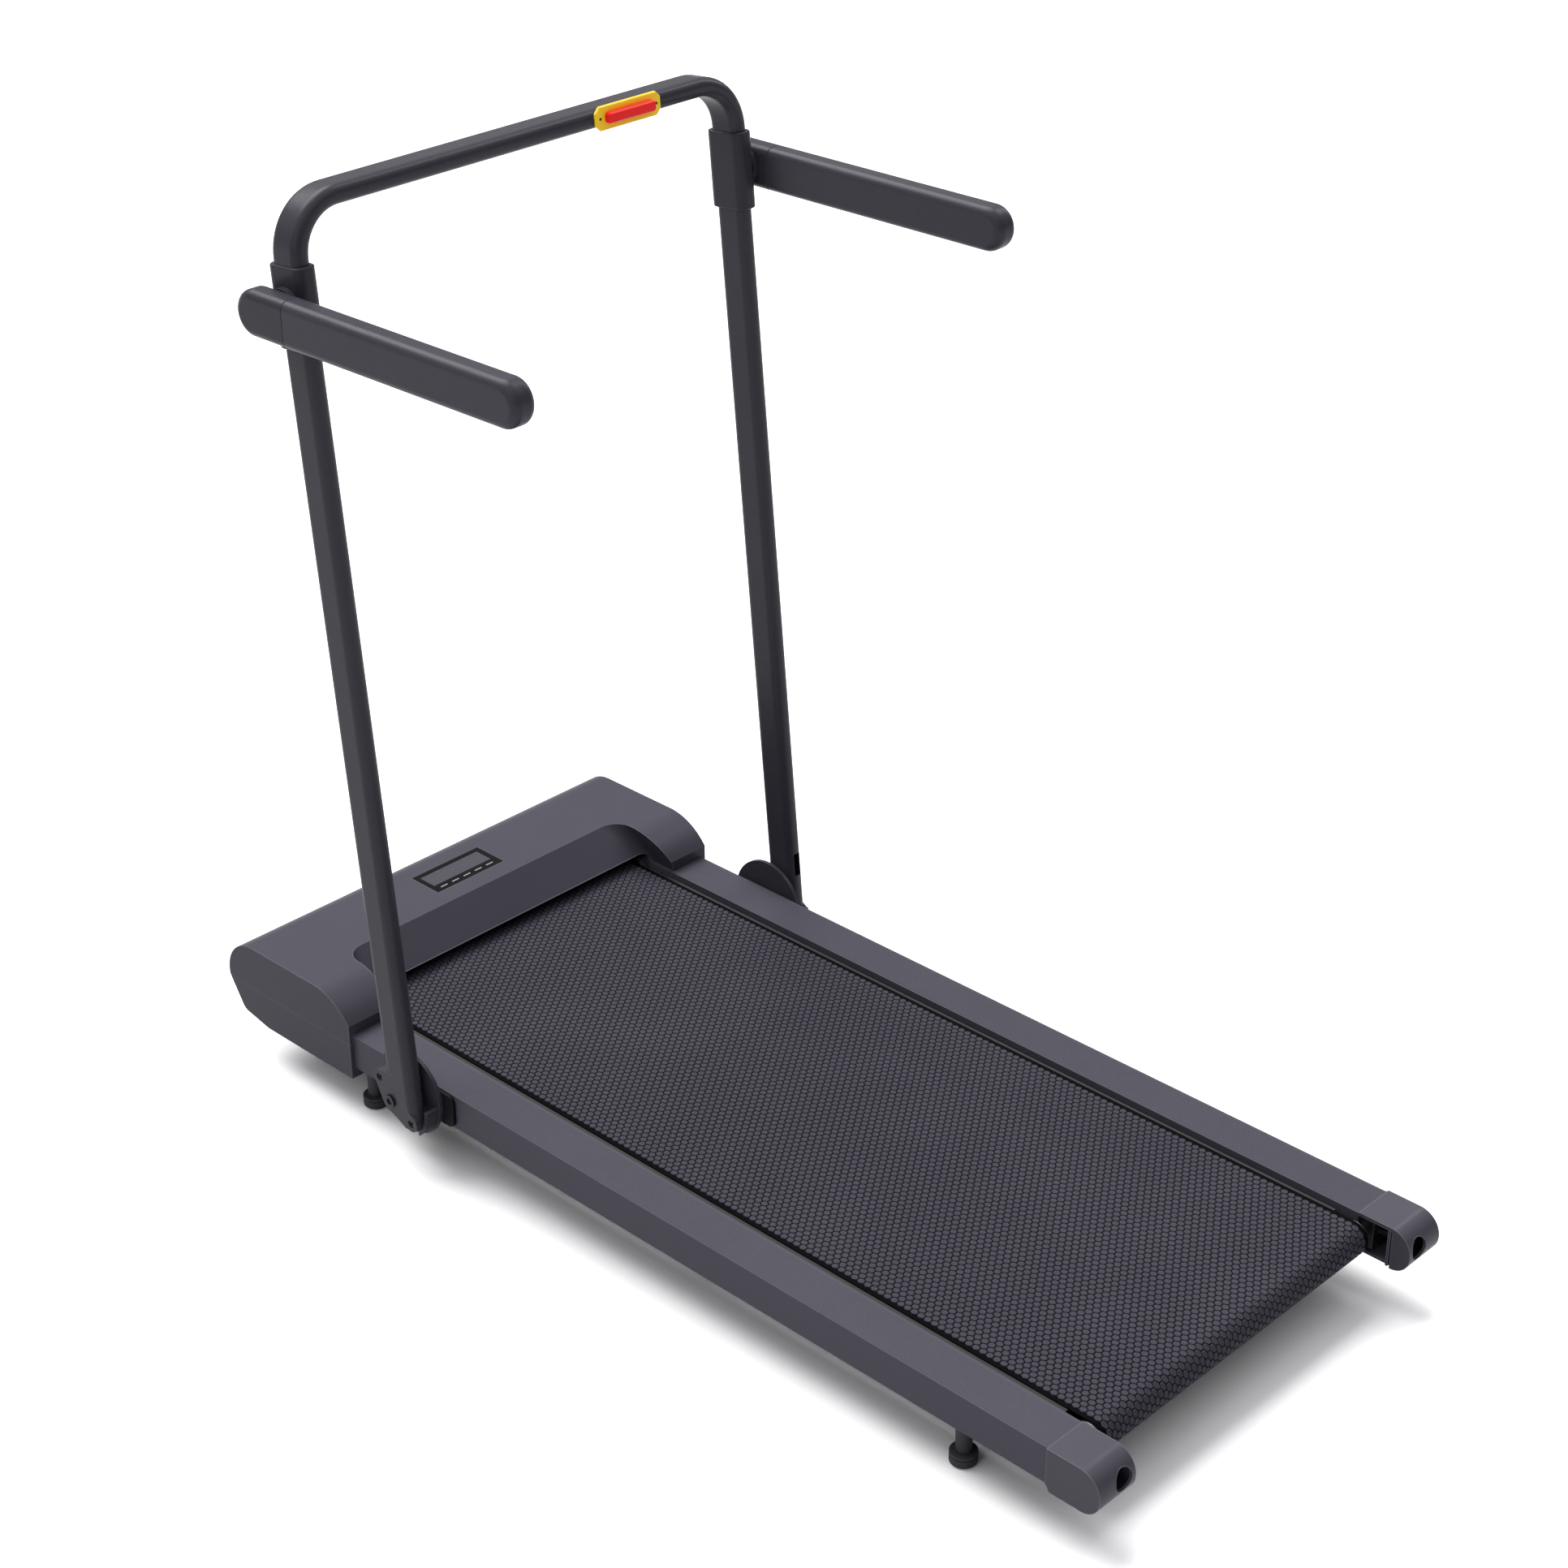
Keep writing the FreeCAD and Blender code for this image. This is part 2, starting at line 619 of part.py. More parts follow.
def make_drive_belt():
    """The ribbed belt from the motor's pulley to the drive roller's pulley."""
    start = FreeCAD.Vector(value(f"{PULLEY_START} + 0.3"), 0, 0)
    wide = value("pulley_width - 2")
    centres = [FreeCAD.Vector(0, value("front_roller_y"), value(ROLLER_Z)),
               FreeCAD.Vector(0, value("motor_y"), value("motor_z"))]
    solids = []
    for growth in (value("running_gap"), value("running_gap + drive_belt_thickness")):
        radii = [value("roller_pulley_radius") + growth, value("motor_pulley_radius") + growth]
        solids.append(crossed_hull(centres, radii).extrude(FreeCAD.Vector(wide, 0, 0)))
    belt = solids[1].cut(solids[0])
    belt.translate(start)
    mark(formed("drive_belt", belt))


def crossed_hull(centres, radii):
    """The face that an open belt round two pulleys encloses, in the YZ plane."""
    along = centres[1] - centres[0]
    distance = along.Length
    heading = math.atan2(along.z, along.y)
    spread = math.acos((radii[0] - radii[1]) / distance)
    spots = []
    for centre, radius in zip(centres, radii):
        spots.append([centre + FreeCAD.Vector(0, radius * math.cos(angle), radius * math.sin(angle))
                      for angle in (heading + spread, heading - spread)])
    far = centres[1] + along.normalize() * radii[1]
    near = centres[0] - along * radii[0]
    edges = [Part.LineSegment(spots[0][0], spots[1][0]).toShape(),
             Part.Arc(spots[1][0], far, spots[1][1]).toShape(),
             Part.LineSegment(spots[1][1], spots[0][1]).toShape(),
             Part.Arc(spots[0][1], near, spots[0][0]).toShape()]
    return Part.Face(Part.Wire(edges))


def make_electrics():
    board = box("control_card", ("32 - rail_inner", "172 - rail_inner"),
                ("rail_front - 10", "rail_front + 55"), (f"{TRAY_TOP} + 4", f"{TRAY_TOP} + 6"))
    sink = box("control_sink", ("42 - rail_inner", "152 - rail_inner"), ("rail_front", "rail_front + 14"),
               (f"{TRAY_TOP} + 6", f"{TRAY_TOP} + 34"))
    coil = rod("control_choke", "Z", ("132 - rail_inner", "rail_front + 36", f"{TRAY_TOP} + 6"), 13, 16)
    can = rod("control_capacitor", "Z", ("82 - rail_inner", "rail_front + 36", f"{TRAY_TOP} + 6"), 11, 26)
    legs = [rod(f"control_leg_{x}_{y}", "Z", (f"{x} - rail_inner", f"rail_front + {y}", TRAY_TOP), 3, 4)
            for x in (40, 164) for y in (-3, 48)]
    mark(fuse("control_board", board, sink, coil, can, *legs))


# ---- hood -----------------------------------------------------------------

def hood_profile(inset):
    """The hood's side outline, all sides moved in by an inset."""
    top, low = f"( hood_top - {inset} )", f"( hood_bottom + {inset} )"
    rear, front = f"( hood_rear + {inset} )", f"( {NOSE} - {inset} )"
    return [(rear, low), (f"{front} - 62", low), (f"{front} - 22", f"{low} + 8"),
            (front, f"{low} + 44"), (front, top), (f"{rear} + hood_lobe_run", top),
            (rear, f"hood_lobe_height - {inset}")]


def hood_block(label, inset, half_width):
    return prism(label, "YZ_Plane", hood_profile(inset), f"0 - ( {half_width} )", f"2 * ( {half_width} )",
                 [([5], f"hood_lobe_radius - {inset}"), ([4], f"hood_nose_radius - {inset}"),
                  ([3], f"18 - {inset}"), ([2], f"12 - {inset}")])


def recess_solid(growth):
    """The scoop over the belt: wider and further back at the bottom, with round corners."""
    top_z, low_z, end_z = value("hood_top"), value(RAIL_TOP), value("hood_seam")
    slope_y = (value("recess_top_y") - value("recess_low_y")) / (top_z - low_z)
    slope_x = (value("recess_top_half") - value("recess_low_half")) / (top_z - low_z)
    slope_r = (value("recess_top_corner") - value("recess_low_corner")) / (top_z - low_z)
    rear = value("hood_rear") - 20
    wires = []
    for z in (end_z - 1, top_z + 1):
        rise = z - low_z
        half = value("recess_low_half") + slope_x * rise + growth
        front = value("recess_low_y") + slope_y * rise + growth * 1.4
        corner = max(value("recess_low_corner") + slope_r * rise, 2) + growth
        rim = section(2 * half, 2 * (front - rear), corner)
        rim.translate(FreeCAD.Vector(0, rear, z))
        wires.append(rim)
    loft = Part.makeLoft(wires, True, True)
    keep = Part.makeBox(2000, 2000, 2000, FreeCAD.Vector(-1000, rear, -1000))
    return loft.common(keep)


def make_hood():
    outer = hood_block("hood_outer", "0", "hood_half_width")
    inner = hood_block("hood_inner", "hood_wall", "hood_half_width - hood_wall")
    scoop = formed("hood_scoop", recess_solid(0))
    scoop_wall = formed("hood_scoop_wall", recess_solid(value("hood_wall")))
    cavity = cut("hood_cavity", inner, scoop_wall)
    rails = [box(f"hood_rail_way_{name}",
                 sided(side, "rail_inner - fit_gap * 4", f"{RAIL_OUTER} + fit_gap * 4"),
                 ("hood_rear - 1", "rail_front + 1"), ("rail_bottom - 0.2", f"{RAIL_TOP} + 0.2"))
             for name, side in SIDES.items()]
    mouth = box("hood_belt_way", ("0 - rail_inner", "rail_inner"), ("hood_rear - 1", "front_roller_y + 24"),
                (f"{ROLLER_Z} - {BELT_OUTER} - 2", "belt_mouth"))
    feet = [rod(f"hood_foot_way_{name}", "Z", (f"{side} * foot_x", "front_foot_y", "hood_bottom - 1"),
                "foot_stem_radius + 1", "hood_wall + 12") for name, side in SIDES.items()]
    display_bed = box("hood_display_bed", ("0 - display_width / 2", "display_width / 2"),
                      ("display_y - display_depth / 2", "display_y + display_depth / 2"),
                      ("hood_top - 1.5", "hood_top + 1"))
    sockets = [box("hood_inlet_way", ("hood_half_width - 5", "hood_half_width + 1"),
                   ("inlet_y - 14.2", "inlet_y + 14.2"), ("socket_z - 10.2", "socket_z + 10.2")),
               box("hood_switch_way", ("hood_half_width - 5", "hood_half_width + 1"),
                   ("switch_y - 7.8", "switch_y + 7.8"), ("socket_z - 10.8", "socket_z + 10.8"))]
    shell = cut("hood_shell", outer, cavity, scoop, mouth, display_bed, *rails, *feet, *sockets)
    upper_zone = box("hood_upper_zone", ("0 - 400", "400"), ("hood_rear - 50", f"{NOSE} + 50"),
                     ("hood_seam + seam_gap / 2", "hood_top + 50"))
    lower_zone = box("hood_lower_zone", ("0 - 400", "400"), ("hood_rear - 50", f"{NOSE} + 50"),
                     ("hood_bottom - 50", "hood_seam - seam_gap / 2"))
    mark(common("hood_upper_shell", shell, upper_zone))
    mark(common("hood_lower_pan", shell, lower_zone))


def make_display():
    bed, top = "( hood_top - 1.5 )", "( hood_top + 0.2 )"
    frame = box("display_plate", ("0 - display_width / 2", "display_width / 2"),
                ("display_y - display_depth / 2", "display_y + display_depth / 2"), (bed, top))
    x = ("0 - display_width / 2 + display_border", "display_width / 2 - display_border")
    y = ("display_y - display_depth / 2 + display_strip", "display_y + display_depth / 2 - display_border")
    opening = box("display_opening", x, y, (f"{bed} + 0.7", f"{top} + 1"))
    slots = []
    lights = []
    for number in range(5):
        middle = f"( {number - 2} * ( display_width - 2 * display_border ) / 5 )"
        strip_y = "( display_y - display_depth / 2 + display_strip / 2 )"
        bounds = ((f"{middle} - 5", f"{middle} + 5"), (f"{strip_y} - 1", f"{strip_y} + 1"),
                  (f"{bed} + 0.9", f"{top} + 1"))
        slots.append(box(f"indicator_slot_{number}", *bounds))
        lights.append(box(f"indicator_light_{number}", bounds[0], bounds[1], (bounds[2][0], top)))
    mark(cut("display_frame", frame, opening, *slots))
    mark(box("display_window", x, y, (f"{bed} + 0.7", f"{top} - 0.3")))
    mark(group("indicator_lights", *lights))


def make_sockets():
    """The mains inlet and its rocker switch, in the hood's right side."""
    face = "( hood_half_width + 1.2 )"
    flange = box("inlet_flange", ("hood_half_width", face), ("inlet_y - 16", "inlet_y + 16"),
                 ("socket_z - 12", "socket_z + 12"))
    barrel = box("inlet_barrel", ("hood_half_width - 22", "hood_half_width"),
                 ("inlet_y - 14", "inlet_y + 14"), ("socket_z - 10", "socket_z + 10"))
    well = box("inlet_well", ("hood_half_width - 15", f"{face} + 1"), ("inlet_y - 12", "inlet_y + 12"),
               ("socket_z - 8", "socket_z + 8"))
    pins = [box(f"inlet_pin_{number}", ("hood_half_width - 16", "hood_half_width - 7"),
                (f"inlet_y + {y} - 1", f"inlet_y + {y} + 1"), (f"socket_z + {z} - 2", f"socket_z + {z} + 2"))
            for number, (y, z) in enumerate(((-7, -2), (0, 2), (7, -2)))]
    mark(fuse("power_inlet", cut("inlet_housing", fuse("inlet_blank", flange, barrel), well), *pins))
    bezel = box("switch_bezel_blank", ("hood_half_width - 4.8", face), ("switch_y - 7.6", "switch_y + 7.6"),
                ("socket_z - 10.6", "socket_z + 10.6"))
    hole = box("switch_hole", ("hood_half_width - 9", f"{face} + 1"), ("switch_y - 6", "switch_y + 6"),
               ("socket_z - 9", "socket_z + 9"))
    axle = rod("switch_axle", "Y", ("hood_half_width - 2.6", "switch_y - 7", "socket_z"), 1.2, 14)
    mark(fuse("switch_bezel", cut("switch_ring", bezel, hole), axle))
    rocker = [("hood_half_width - 4.6", "socket_z - 5"), ("hood_half_width + 0.2", "socket_z - 7.2"),
              ("hood_half_width + 1.3", "socket_z"), ("hood_half_width + 2.8", "socket_z + 7"),
              ("hood_half_width - 4.6", "socket_z + 5")]
    blank = prism("rocker_blank", "XZ_Plane", rocker, "0 - switch_y - 5.6", "11.2")
    bore = rod("rocker_bore", "Y", ("hood_half_width - 2.6", "switch_y - 7", "socket_z"), "1.2 + fit_gap", 14)
    mark(cut("power_switch", blank, bore))


# ---- feet and wheels ------------------------------------------------------

def make_foot(label, x, y):
    """A levelling foot: a round pad with a groove, and the threaded stem that holds it."""
    pad = [("0", "0"), ("foot_radius - 2", "0"), ("foot_radius", "2"), ("foot_radius", "foot_height - 4"),
           ("foot_radius - 1.2", "foot_height - 4"), ("foot_radius - 1.2", "foot_height - 3"),
           ("foot_radius", "foot_height - 3"), ("foot_radius", "foot_height"), ("0", "foot_height")]
    mark(turned(f"foot_pad_{label}", "XZ_Plane", pad, "V_Axis", x, y, 0))
    stem_top = "( rail_bottom + rail_wall + foot_travel + 4 )"
    stem = [("0", "foot_height"), ("foot_stem_radius", "foot_height"),
            ("foot_stem_radius", f"{stem_top} - 1"), ("foot_stem_radius - 1", stem_top), ("0", stem_top)]
    mark(turned(f"foot_stem_{label}", "XZ_Plane", stem, "V_Axis", x, y, 0))


def make_wheel(name, side):
    half = "( wheel_width / 2 )"
    inner, outer = f"wheel_x - {half}", f"wheel_x + {half}"
    bore = "( 3 + fit_gap )"
    profile = [(f"0 - {half}", bore), (half, bore), (half, "wheel_radius - 2"),
               (f"{half} - 2", "wheel_radius"), (f"2 - {half}", "wheel_radius"),
               (f"0 - {half}", "wheel_radius - 2")]
    mark(turned(f"transport_wheel_{name}", "XY_Plane", profile, "H_Axis", f"{side} * wheel_x", "wheel_y",
                "wheel_z"))
    ears = [box(f"wheel_ear_{name}_{number}", sided(side, *bounds), ("wheel_y - 8", "wheel_y + 8"),
                ("wheel_z - 7", "hood_bottom"))
            for number, bounds in enumerate(((f"{inner} - 3.5", f"{inner} - 0.5"),
                                             (f"{outer} + 0.5", f"{outer} + 3.5")))]
    pin = side_rod(f"wheel_pin_{name}", side, f"{inner} - 4.5", f"{outer} + 4.5", "wheel_y", "wheel_z", 3)
    return fuse(f"wheel_bracket_{name}", *ears, pin)


def make_supports():
    for name, side in SIDES.items():
        make_foot(f"front_{name}", f"{side} * foot_x", "front_foot_y")
        make_foot(f"rear_{name}", f"{side} * foot_x", "rear_foot_y")
    mark(group("wheel_brackets", *[make_wheel(name, side) for name, side in SIDES.items()]))


# ---- handle hinge ---------------------------------------------------------

def make_hinge_plate(name, side):
    """The plate on the rail's outer face that the handle's foot turns against."""
    low, high = sided(side, RAIL_OUTER, f"{RAIL_OUTER} + hinge_plate_thickness")
    corners = [("pivot_y - hinge_plate_rear", "rail_bottom + 1"), ("pivot_y + 34", "rail_bottom + 1"),
               ("pivot_y + 34", f"{RAIL_TOP} - 1"), ("pivot_y - hinge_plate_rear", f"{RAIL_TOP} - 1")]
    plate = prism(f"hinge_plate_blank_{name}", "YZ_Plane", corners, low, f"( {high} ) - ( {low} )",
                  [([0, 1, 2, 3], "8")])
    bore = side_rod(f"hinge_plate_bore_{name}", side, f"{RAIL_OUTER} - 1",
                    f"{RAIL_OUTER} + hinge_plate_thickness + 1", "pivot_y", "pivot_z",
                    "pivot_bolt_radius + fit_gap")
    mark(cut(f"hinge_plate_{name}", plate, bore))


def make_pivot_bolt(name, side):
    shank = side_rod(f"pivot_shank_{name}", side, f"{RAIL_OUTER} - rail_wall - 9", POST_OUTER, "pivot_y",
                     "pivot_z", "pivot_bolt_radius")
    nut = side_rod(f"pivot_nut_{name}", side, f"{RAIL_OUTER} - rail_wall - 7", f"{RAIL_OUTER} - rail_wall",
                   "pivot_y", "pivot_z", "pivot_head_radius + 1")
    head = side_rod(f"pivot_head_{name}", side, f"{POST_OUTER} + running_gap", f"{POST_OUTER} + 2.4",
                    "pivot_y", "pivot_z", "pivot_head_radius")
    neck = side_rod(f"pivot_neck_{name}", side, f"{POST_OUTER} - 1", f"{POST_OUTER} + 1", "pivot_y",
                    "pivot_z", "pivot_bolt_radius")
    socket = side_rod(f"pivot_socket_{name}", side, f"{POST_OUTER} + 0.8", f"{POST_OUTER} + 3", "pivot_y",
                      "pivot_z", "pivot_bolt_radius * 0.7")
    return cut(f"pivot_bolt_{name}", fuse(f"pivot_blank_{name}", shank, nut, head, neck), socket)


EAR_BOLTS = {"upper": ("pivot_y + 16.2", "pivot_z + 22"), "lower": ("pivot_y - 30.5", "pivot_z - 15")}
EAR_SHOULDER = ("pivot_y - 2", "pivot_z + 24")


def make_hinge_foot(name, side):
    """The handle's foot: an inner disc, a cup under the post, a front lug and an outer ear."""
    disc = side_rod(f"foot_disc_{name}", side, DISC_INNER, DISC_OUTER, "pivot_y", "pivot_z",
                    "pivot_disc_radius")
    cup_outer = side_rod(f"foot_cup_{name}", side, DISC_OUTER, "post_x + 1", "pivot_y", "pivot_z",
                         "cup_radius")
    cup_inner = side_rod(f"foot_cup_hollow_{name}", side, DISC_OUTER, "post_x + 2", "pivot_y", "pivot_z",
                         "cup_radius - cup_wall")
    cup_zone = box(f"foot_cup_zone_{name}", sided(side, DISC_OUTER, "post_x + 3"),
                   ("pivot_y - 60", "pivot_y - 31"), ("pivot_z - 60", "pivot_z"))
    cup = common(f"foot_cup_part_{name}", cut(f"foot_cup_ring_{name}", cup_outer, cup_inner), cup_zone)
    lug_zone = box(f"foot_lug_zone_{name}", sided(side, DISC_OUTER, POST_OUTER), ("pivot_y", "pivot_y + 60"),
                   ("pivot_z - 60", "pivot_z + 60"))
    lug = common(f"foot_lug_{name}", ear_plate(f"foot_lug_blank_{name}", side, DISC_OUTER), lug_zone)
    ear = ear_plate(f"foot_ear_{name}", side, f"{POST_OUTER} - ear_thickness")
    spacer = side_rod(f"foot_spacer_{name}", side, DISC_OUTER, POST_OUTER, "pivot_y", "pivot_z",
                      "pivot_bolt_radius + spacer_wall")
    seat = cut(f"foot_seat_{name}", fuse(f"foot_body_{name}", cup, lug),
               post_solid(f"foot_room_{name}", side))
    bore = side_rod(f"foot_bore_{name}", side, DISC_INNER + " - 1", f"{POST_OUTER} + 1", "pivot_y", "pivot_z",
                    "pivot_bolt_radius + fit_gap")
    holes = [side_rod(f"foot_hole_{name}_{spot}", side, f"{POST_OUTER} - 6", f"{POST_OUTER} + 1", y, z, "3")
             for spot, (y, z) in EAR_BOLTS.items()]
    holes += [side_rod(f"foot_sink_{name}_{spot}", side, f"{POST_OUTER} - 2.2", f"{POST_OUTER} + 1", y, z,
                       "screw_head_radius + fit_gap") for spot, (y, z) in EAR_BOLTS.items()]
    mark(cut(f"hinge_foot_{name}", fuse(f"foot_blank_{name}", disc, seat, ear, spacer), bore, *holes))


def ear_plate(label, side, start):
    """A plate that wraps the pivot and both screws, from a distance out to the post's outer face."""
    spots = {spot: FreeCAD.Vector(0, value(y), value(z)) for spot, (y, z) in EAR_BOLTS.items()}
    pivot = FreeCAD.Vector(0, value("pivot_y"), value("pivot_z"))
    wide, narrow = value("ear_pivot_margin"), value("ear_bolt_margin")
    low, high = (value(bound_) for bound_ in sided(side, start, POST_OUTER))
    plates = []
    shoulder = FreeCAD.Vector(0, value(EAR_SHOULDER[0]), value(EAR_SHOULDER[1]))
    lobes = [([pivot, spots["upper"]], [wide, narrow]), ([pivot, spots["lower"]], [wide, narrow]),
             ([spots["upper"], shoulder], [narrow, narrow]), ([pivot, shoulder], [wide, narrow])]
    for centres, radii in lobes:
        face = crossed_hull(centres, radii)
        face.translate(FreeCAD.Vector(low, 0, 0))
        plates.append(face.extrude(FreeCAD.Vector(high - low, 0, 0)))
    return formed(label, plates[0].multiFuse(plates[1:]).removeSplitter())


def post_solid(label, side):
    """The post's outside, with its lower end trimmed along the ear's lower edge."""
    bar = bar_solid(value("post_width"), value("post_depth"), value("post_corner"),
                    value(up_post(POST_BOTTOM)) - 5, value(up_post("( collar_bottom + collar_top ) / 2")))
    bar_item = lift_sided(formed(label + "_bar", bar), side, 0)
    corners = [("pivot_y - 80", POST_BOTTOM), ("pivot_y - 21", POST_BOTTOM),
               ("pivot_y + 99", f"{POST_BOTTOM} + 60"), ("pivot_y + 200", "collar_top + 100"),
               ("pivot_y - 80", "collar_top + 100")]
    low, high = sided(side, "post_x - post_width", "post_x + post_width")
    return common(label, bar_item, prism(label + "_zone", "YZ_Plane", corners, low, "2 * post_width"))


def lift_sided(item, side, rise, run=0):
    lift(item, rise, run)
    bind(item, Placement__Base__x=f"{side} * post_x")
    return item


def make_hinge_screw(name, side, spot):
    y, z = EAR_BOLTS[spot]
    shank = side_rod(f"hinge_screw_shank_{name}_{spot}", side, f"{POST_OUTER} - 6", f"{POST_OUTER} - 2.2", y,
                     z, "3")
    head = side_rod(f"hinge_screw_head_{name}_{spot}", side, f"{POST_OUTER} - 2.2", f"{POST_OUTER} - 1.3",
                    y, z, "screw_head_radius")
    socket = side_rod(f"hinge_screw_socket_{name}_{spot}", side, f"{POST_OUTER} - 2.6",
                      f"{POST_OUTER} + 1", y, z, "1.8")
    return cut(f"hinge_screw_{name}_{spot}", fuse(f"hinge_screw_blank_{name}_{spot}", shank, head), socket)


# ---- posts, collars and handlebar -----------------------------------------

def make_post(name, side):
    low, high = value(up_post(POST_BOTTOM)), value(up_post("collar_top"))
    width, depth, corner, wall = (value(word) for word in
                                  ("post_width", "post_depth", "post_corner", "post_wall"))
    hollow = bar_solid(width - 2 * wall, depth - 2 * wall, corner - wall, low + 20, high)
    hollow_item = lift_sided(formed(f"post_hollow_{name}", hollow), side, 0)
    bore = side_rod(f"post_bore_{name}", side, "post_x - post_width", "post_x + post_width", "pivot_y",
                    "pivot_z", "pivot_bolt_radius + spacer_wall")
    notches = [side_rod(f"post_notch_{name}_{spot}", side, f"{POST_OUTER} - 6", "post_x + post_width", y, z,
                        "3") for spot, (y, z) in EAR_BOLTS.items()]
    ear_room = ear_plate(f"post_ear_room_{name}", side, f"{POST_OUTER} - ear_thickness")
    tools = [hollow_item, bore, ear_room] + notches
    if side > 0:
        tools.append(box("post_cable_slot", ("post_x - 4", "post_x + 5"), (f"{FOOT_Y} - 40", FOOT_Y),
                         ("pivot_z + 36", "pivot_z + 64")))
    mark(cut(f"post_{name}", post_solid(f"post_blank_{name}", side), *tools))


def make_collar(name, side):
    low, high = value(up_post("collar_bottom")), value(up_post("collar_top"))
    block = bar_solid(value("collar_width"), value("collar_depth"), value("collar_corner"), low, high)
    rims = [edge for edge in block.Edges if abs(edge.BoundBox.ZLength) < 1e-6]
    block = block.makeFillet(1.8, rims)
    room = bar_solid(value("post_width"), value("post_depth"), value("post_corner"), low - 5, high + 5)
    blank = lift_sided(formed(f"collar_blank_{name}", block), side, 0)
    boss = side_rod(f"collar_boss_{name}", side, f"{COLLAR_OUTER} - 1", f"{ARM_INNER} - running_gap", ARM_Y,
                    "arm_level", "boss_radius")
    inner = lift_sided(formed(f"collar_room_{name}", room), side, 0)
    hole = side_rod(f"collar_hole_{name}", side, f"{COLLAR_OUTER} - 2", ARM_INNER, ARM_Y, "arm_level",
                    "arm_pin_radius")
    mark(cut(f"collar_{name}", fuse(f"collar_whole_{name}", blank, boss), inner, hole))


ARM_Y = f"( {FOOT_Y} + ( arm_level - pivot_z ) * tan( post_lean * 1 deg ) )"


def make_handlebar():
    """One tube bent twice: down into both collars, with the crossbar on top."""
    low = value(up_post("( collar_bottom + collar_top ) / 2"))
    high = value(up_post("bar_height"))
    half, bend = value("post_x"), value("bar_bend")
    diagonal = bend * math.sqrt(0.5)
    spots = {
        "start": (-half, low), "left_up": (-half, high - bend),
        "left_turn": (-half + bend - diagonal, high - bend + diagonal), "left_top": (-half + bend, high),
        "right_top": (half - bend, high), "right_turn": (half - bend + diagonal, high - bend + diagonal),
        "right_up": (half, high - bend), "end": (half, low),
    }
    at = {name: FreeCAD.Vector(x, 0, z) for name, (x, z) in spots.items()}
    path = Part.Wire([
        Part.LineSegment(at["start"], at["left_up"]).toShape(),
        Part.Arc(at["left_up"], at["left_turn"], at["left_top"]).toShape(),
        Part.LineSegment(at["left_top"], at["right_top"]).toShape(),
        Part.Arc(at["right_top"], at["right_turn"], at["right_up"]).toShape(),
        Part.LineSegment(at["right_up"], at["end"]).toShape()])
    wall = value("post_wall")
    tubes = []
    for inset in (0, wall):
        rim = section(value("post_width") - 2 * inset, value("post_depth") - 2 * inset,
                      value("post_corner") - inset)
        rim.translate(at["start"])
        tubes.append(path.makePipeShell([rim], True, False))
    bar = formed("handlebar_blank", tubes[0].cut(tubes[1]))
    mark(rename(lift(bar, 0), "handlebar"))


def rename(item, label):
    item.Label = label
    return item


# ---- side arms ------------------------------------------------------------

def arm_block(front, rear, height, thickness, edge):
    """A bar with half-round ends, in its own frame: pivot at the origin, front along +Y."""
    radius = height / 2
    top = [FreeCAD.Vector(0, front - radius, radius), FreeCAD.Vector(0, -rear + radius, radius)]
    low = [FreeCAD.Vector(0, -rear + radius, -radius), FreeCAD.Vector(0, front - radius, -radius)]
    edges = [Part.LineSegment(top[0], top[1]).toShape(),
             Part.Arc(top[1], FreeCAD.Vector(0, -rear, 0), low[0]).toShape(),
             Part.LineSegment(low[0], low[1]).toShape(),
             Part.Arc(low[1], FreeCAD.Vector(0, front, 0), top[0]).toShape()]
    face = Part.Face(Part.Wire(edges))
    face.translate(FreeCAD.Vector(-thickness / 2, 0, 0))
    block = face.extrude(FreeCAD.Vector(thickness, 0, 0))
    rims = [edge_ for edge_ in block.Edges if edge_.BoundBox.XLength < 1e-6]
    return block.makeFillet(edge, rims)


def make_arm(name, side):
    """A padded side arm: its hub turns on the collar, and its grip runs back to the walker."""
    sizes = [value(word) for word in ("arm_front", "arm_rear", "arm_height", "arm_thickness", "arm_edge")]
    whole = arm_block(*sizes)
    seam, gap = -value("arm_seam"), value("arm_seam_gap")
    front_zone = Part.makeBox(200, 200, 200, FreeCAD.Vector(-100, seam, -100))
    rear_zone = Part.makeBox(200, 800, 200, FreeCAD.Vector(-100, seam - gap - 800, -100))
    tongue = arm_tongue(seam, gap)
    hub_shape = whole.common(front_zone).fuse(tongue).cut(arm_bore(side))
    grip_shape = whole.common(rear_zone).cut(tongue)
    for label, shape in (("arm_hub", hub_shape), ("arm_grip", grip_shape)):
        item = formed(f"{label}_{name}", shape)
        item.Placement = FreeCAD.Placement(FreeCAD.Vector(), FreeCAD.Rotation(FreeCAD.Vector(-1, 0, 0), 1))
        bind(item, Placement__Rotation__Angle="arm_pitch")
        mark(place(item, f"{side} * {ARM_X}", ARM_Y, "arm_level"))


def arm_tongue(seam, gap):
    """The steel bar that reaches from the hub into the grip and carries it."""
    length = value("arm_rear") + seam - 40
    return Part.makeBox(8, length + gap, 18, FreeCAD.Vector(-4, seam - length - gap, -9))


def arm_bore(side):
    """The pivot's blind bore, open to the collar's side."""
    half = value("arm_thickness / 2")
    return Part.makeCylinder(value("arm_pin_radius + fit_gap"), 2 * half - 4,
                             FreeCAD.Vector(-side * half, 0, 0), FreeCAD.Vector(side, 0, 0))


def make_arm_pivot(name, side):
    return side_rod(f"arm_pivot_{name}", side, f"{COLLAR_OUTER} - 2", f"{ARM_X} + arm_thickness / 2 - 4.5",
                    ARM_Y, "arm_level", "arm_pin_radius")


# ---- safety key -----------------------------------------------------------

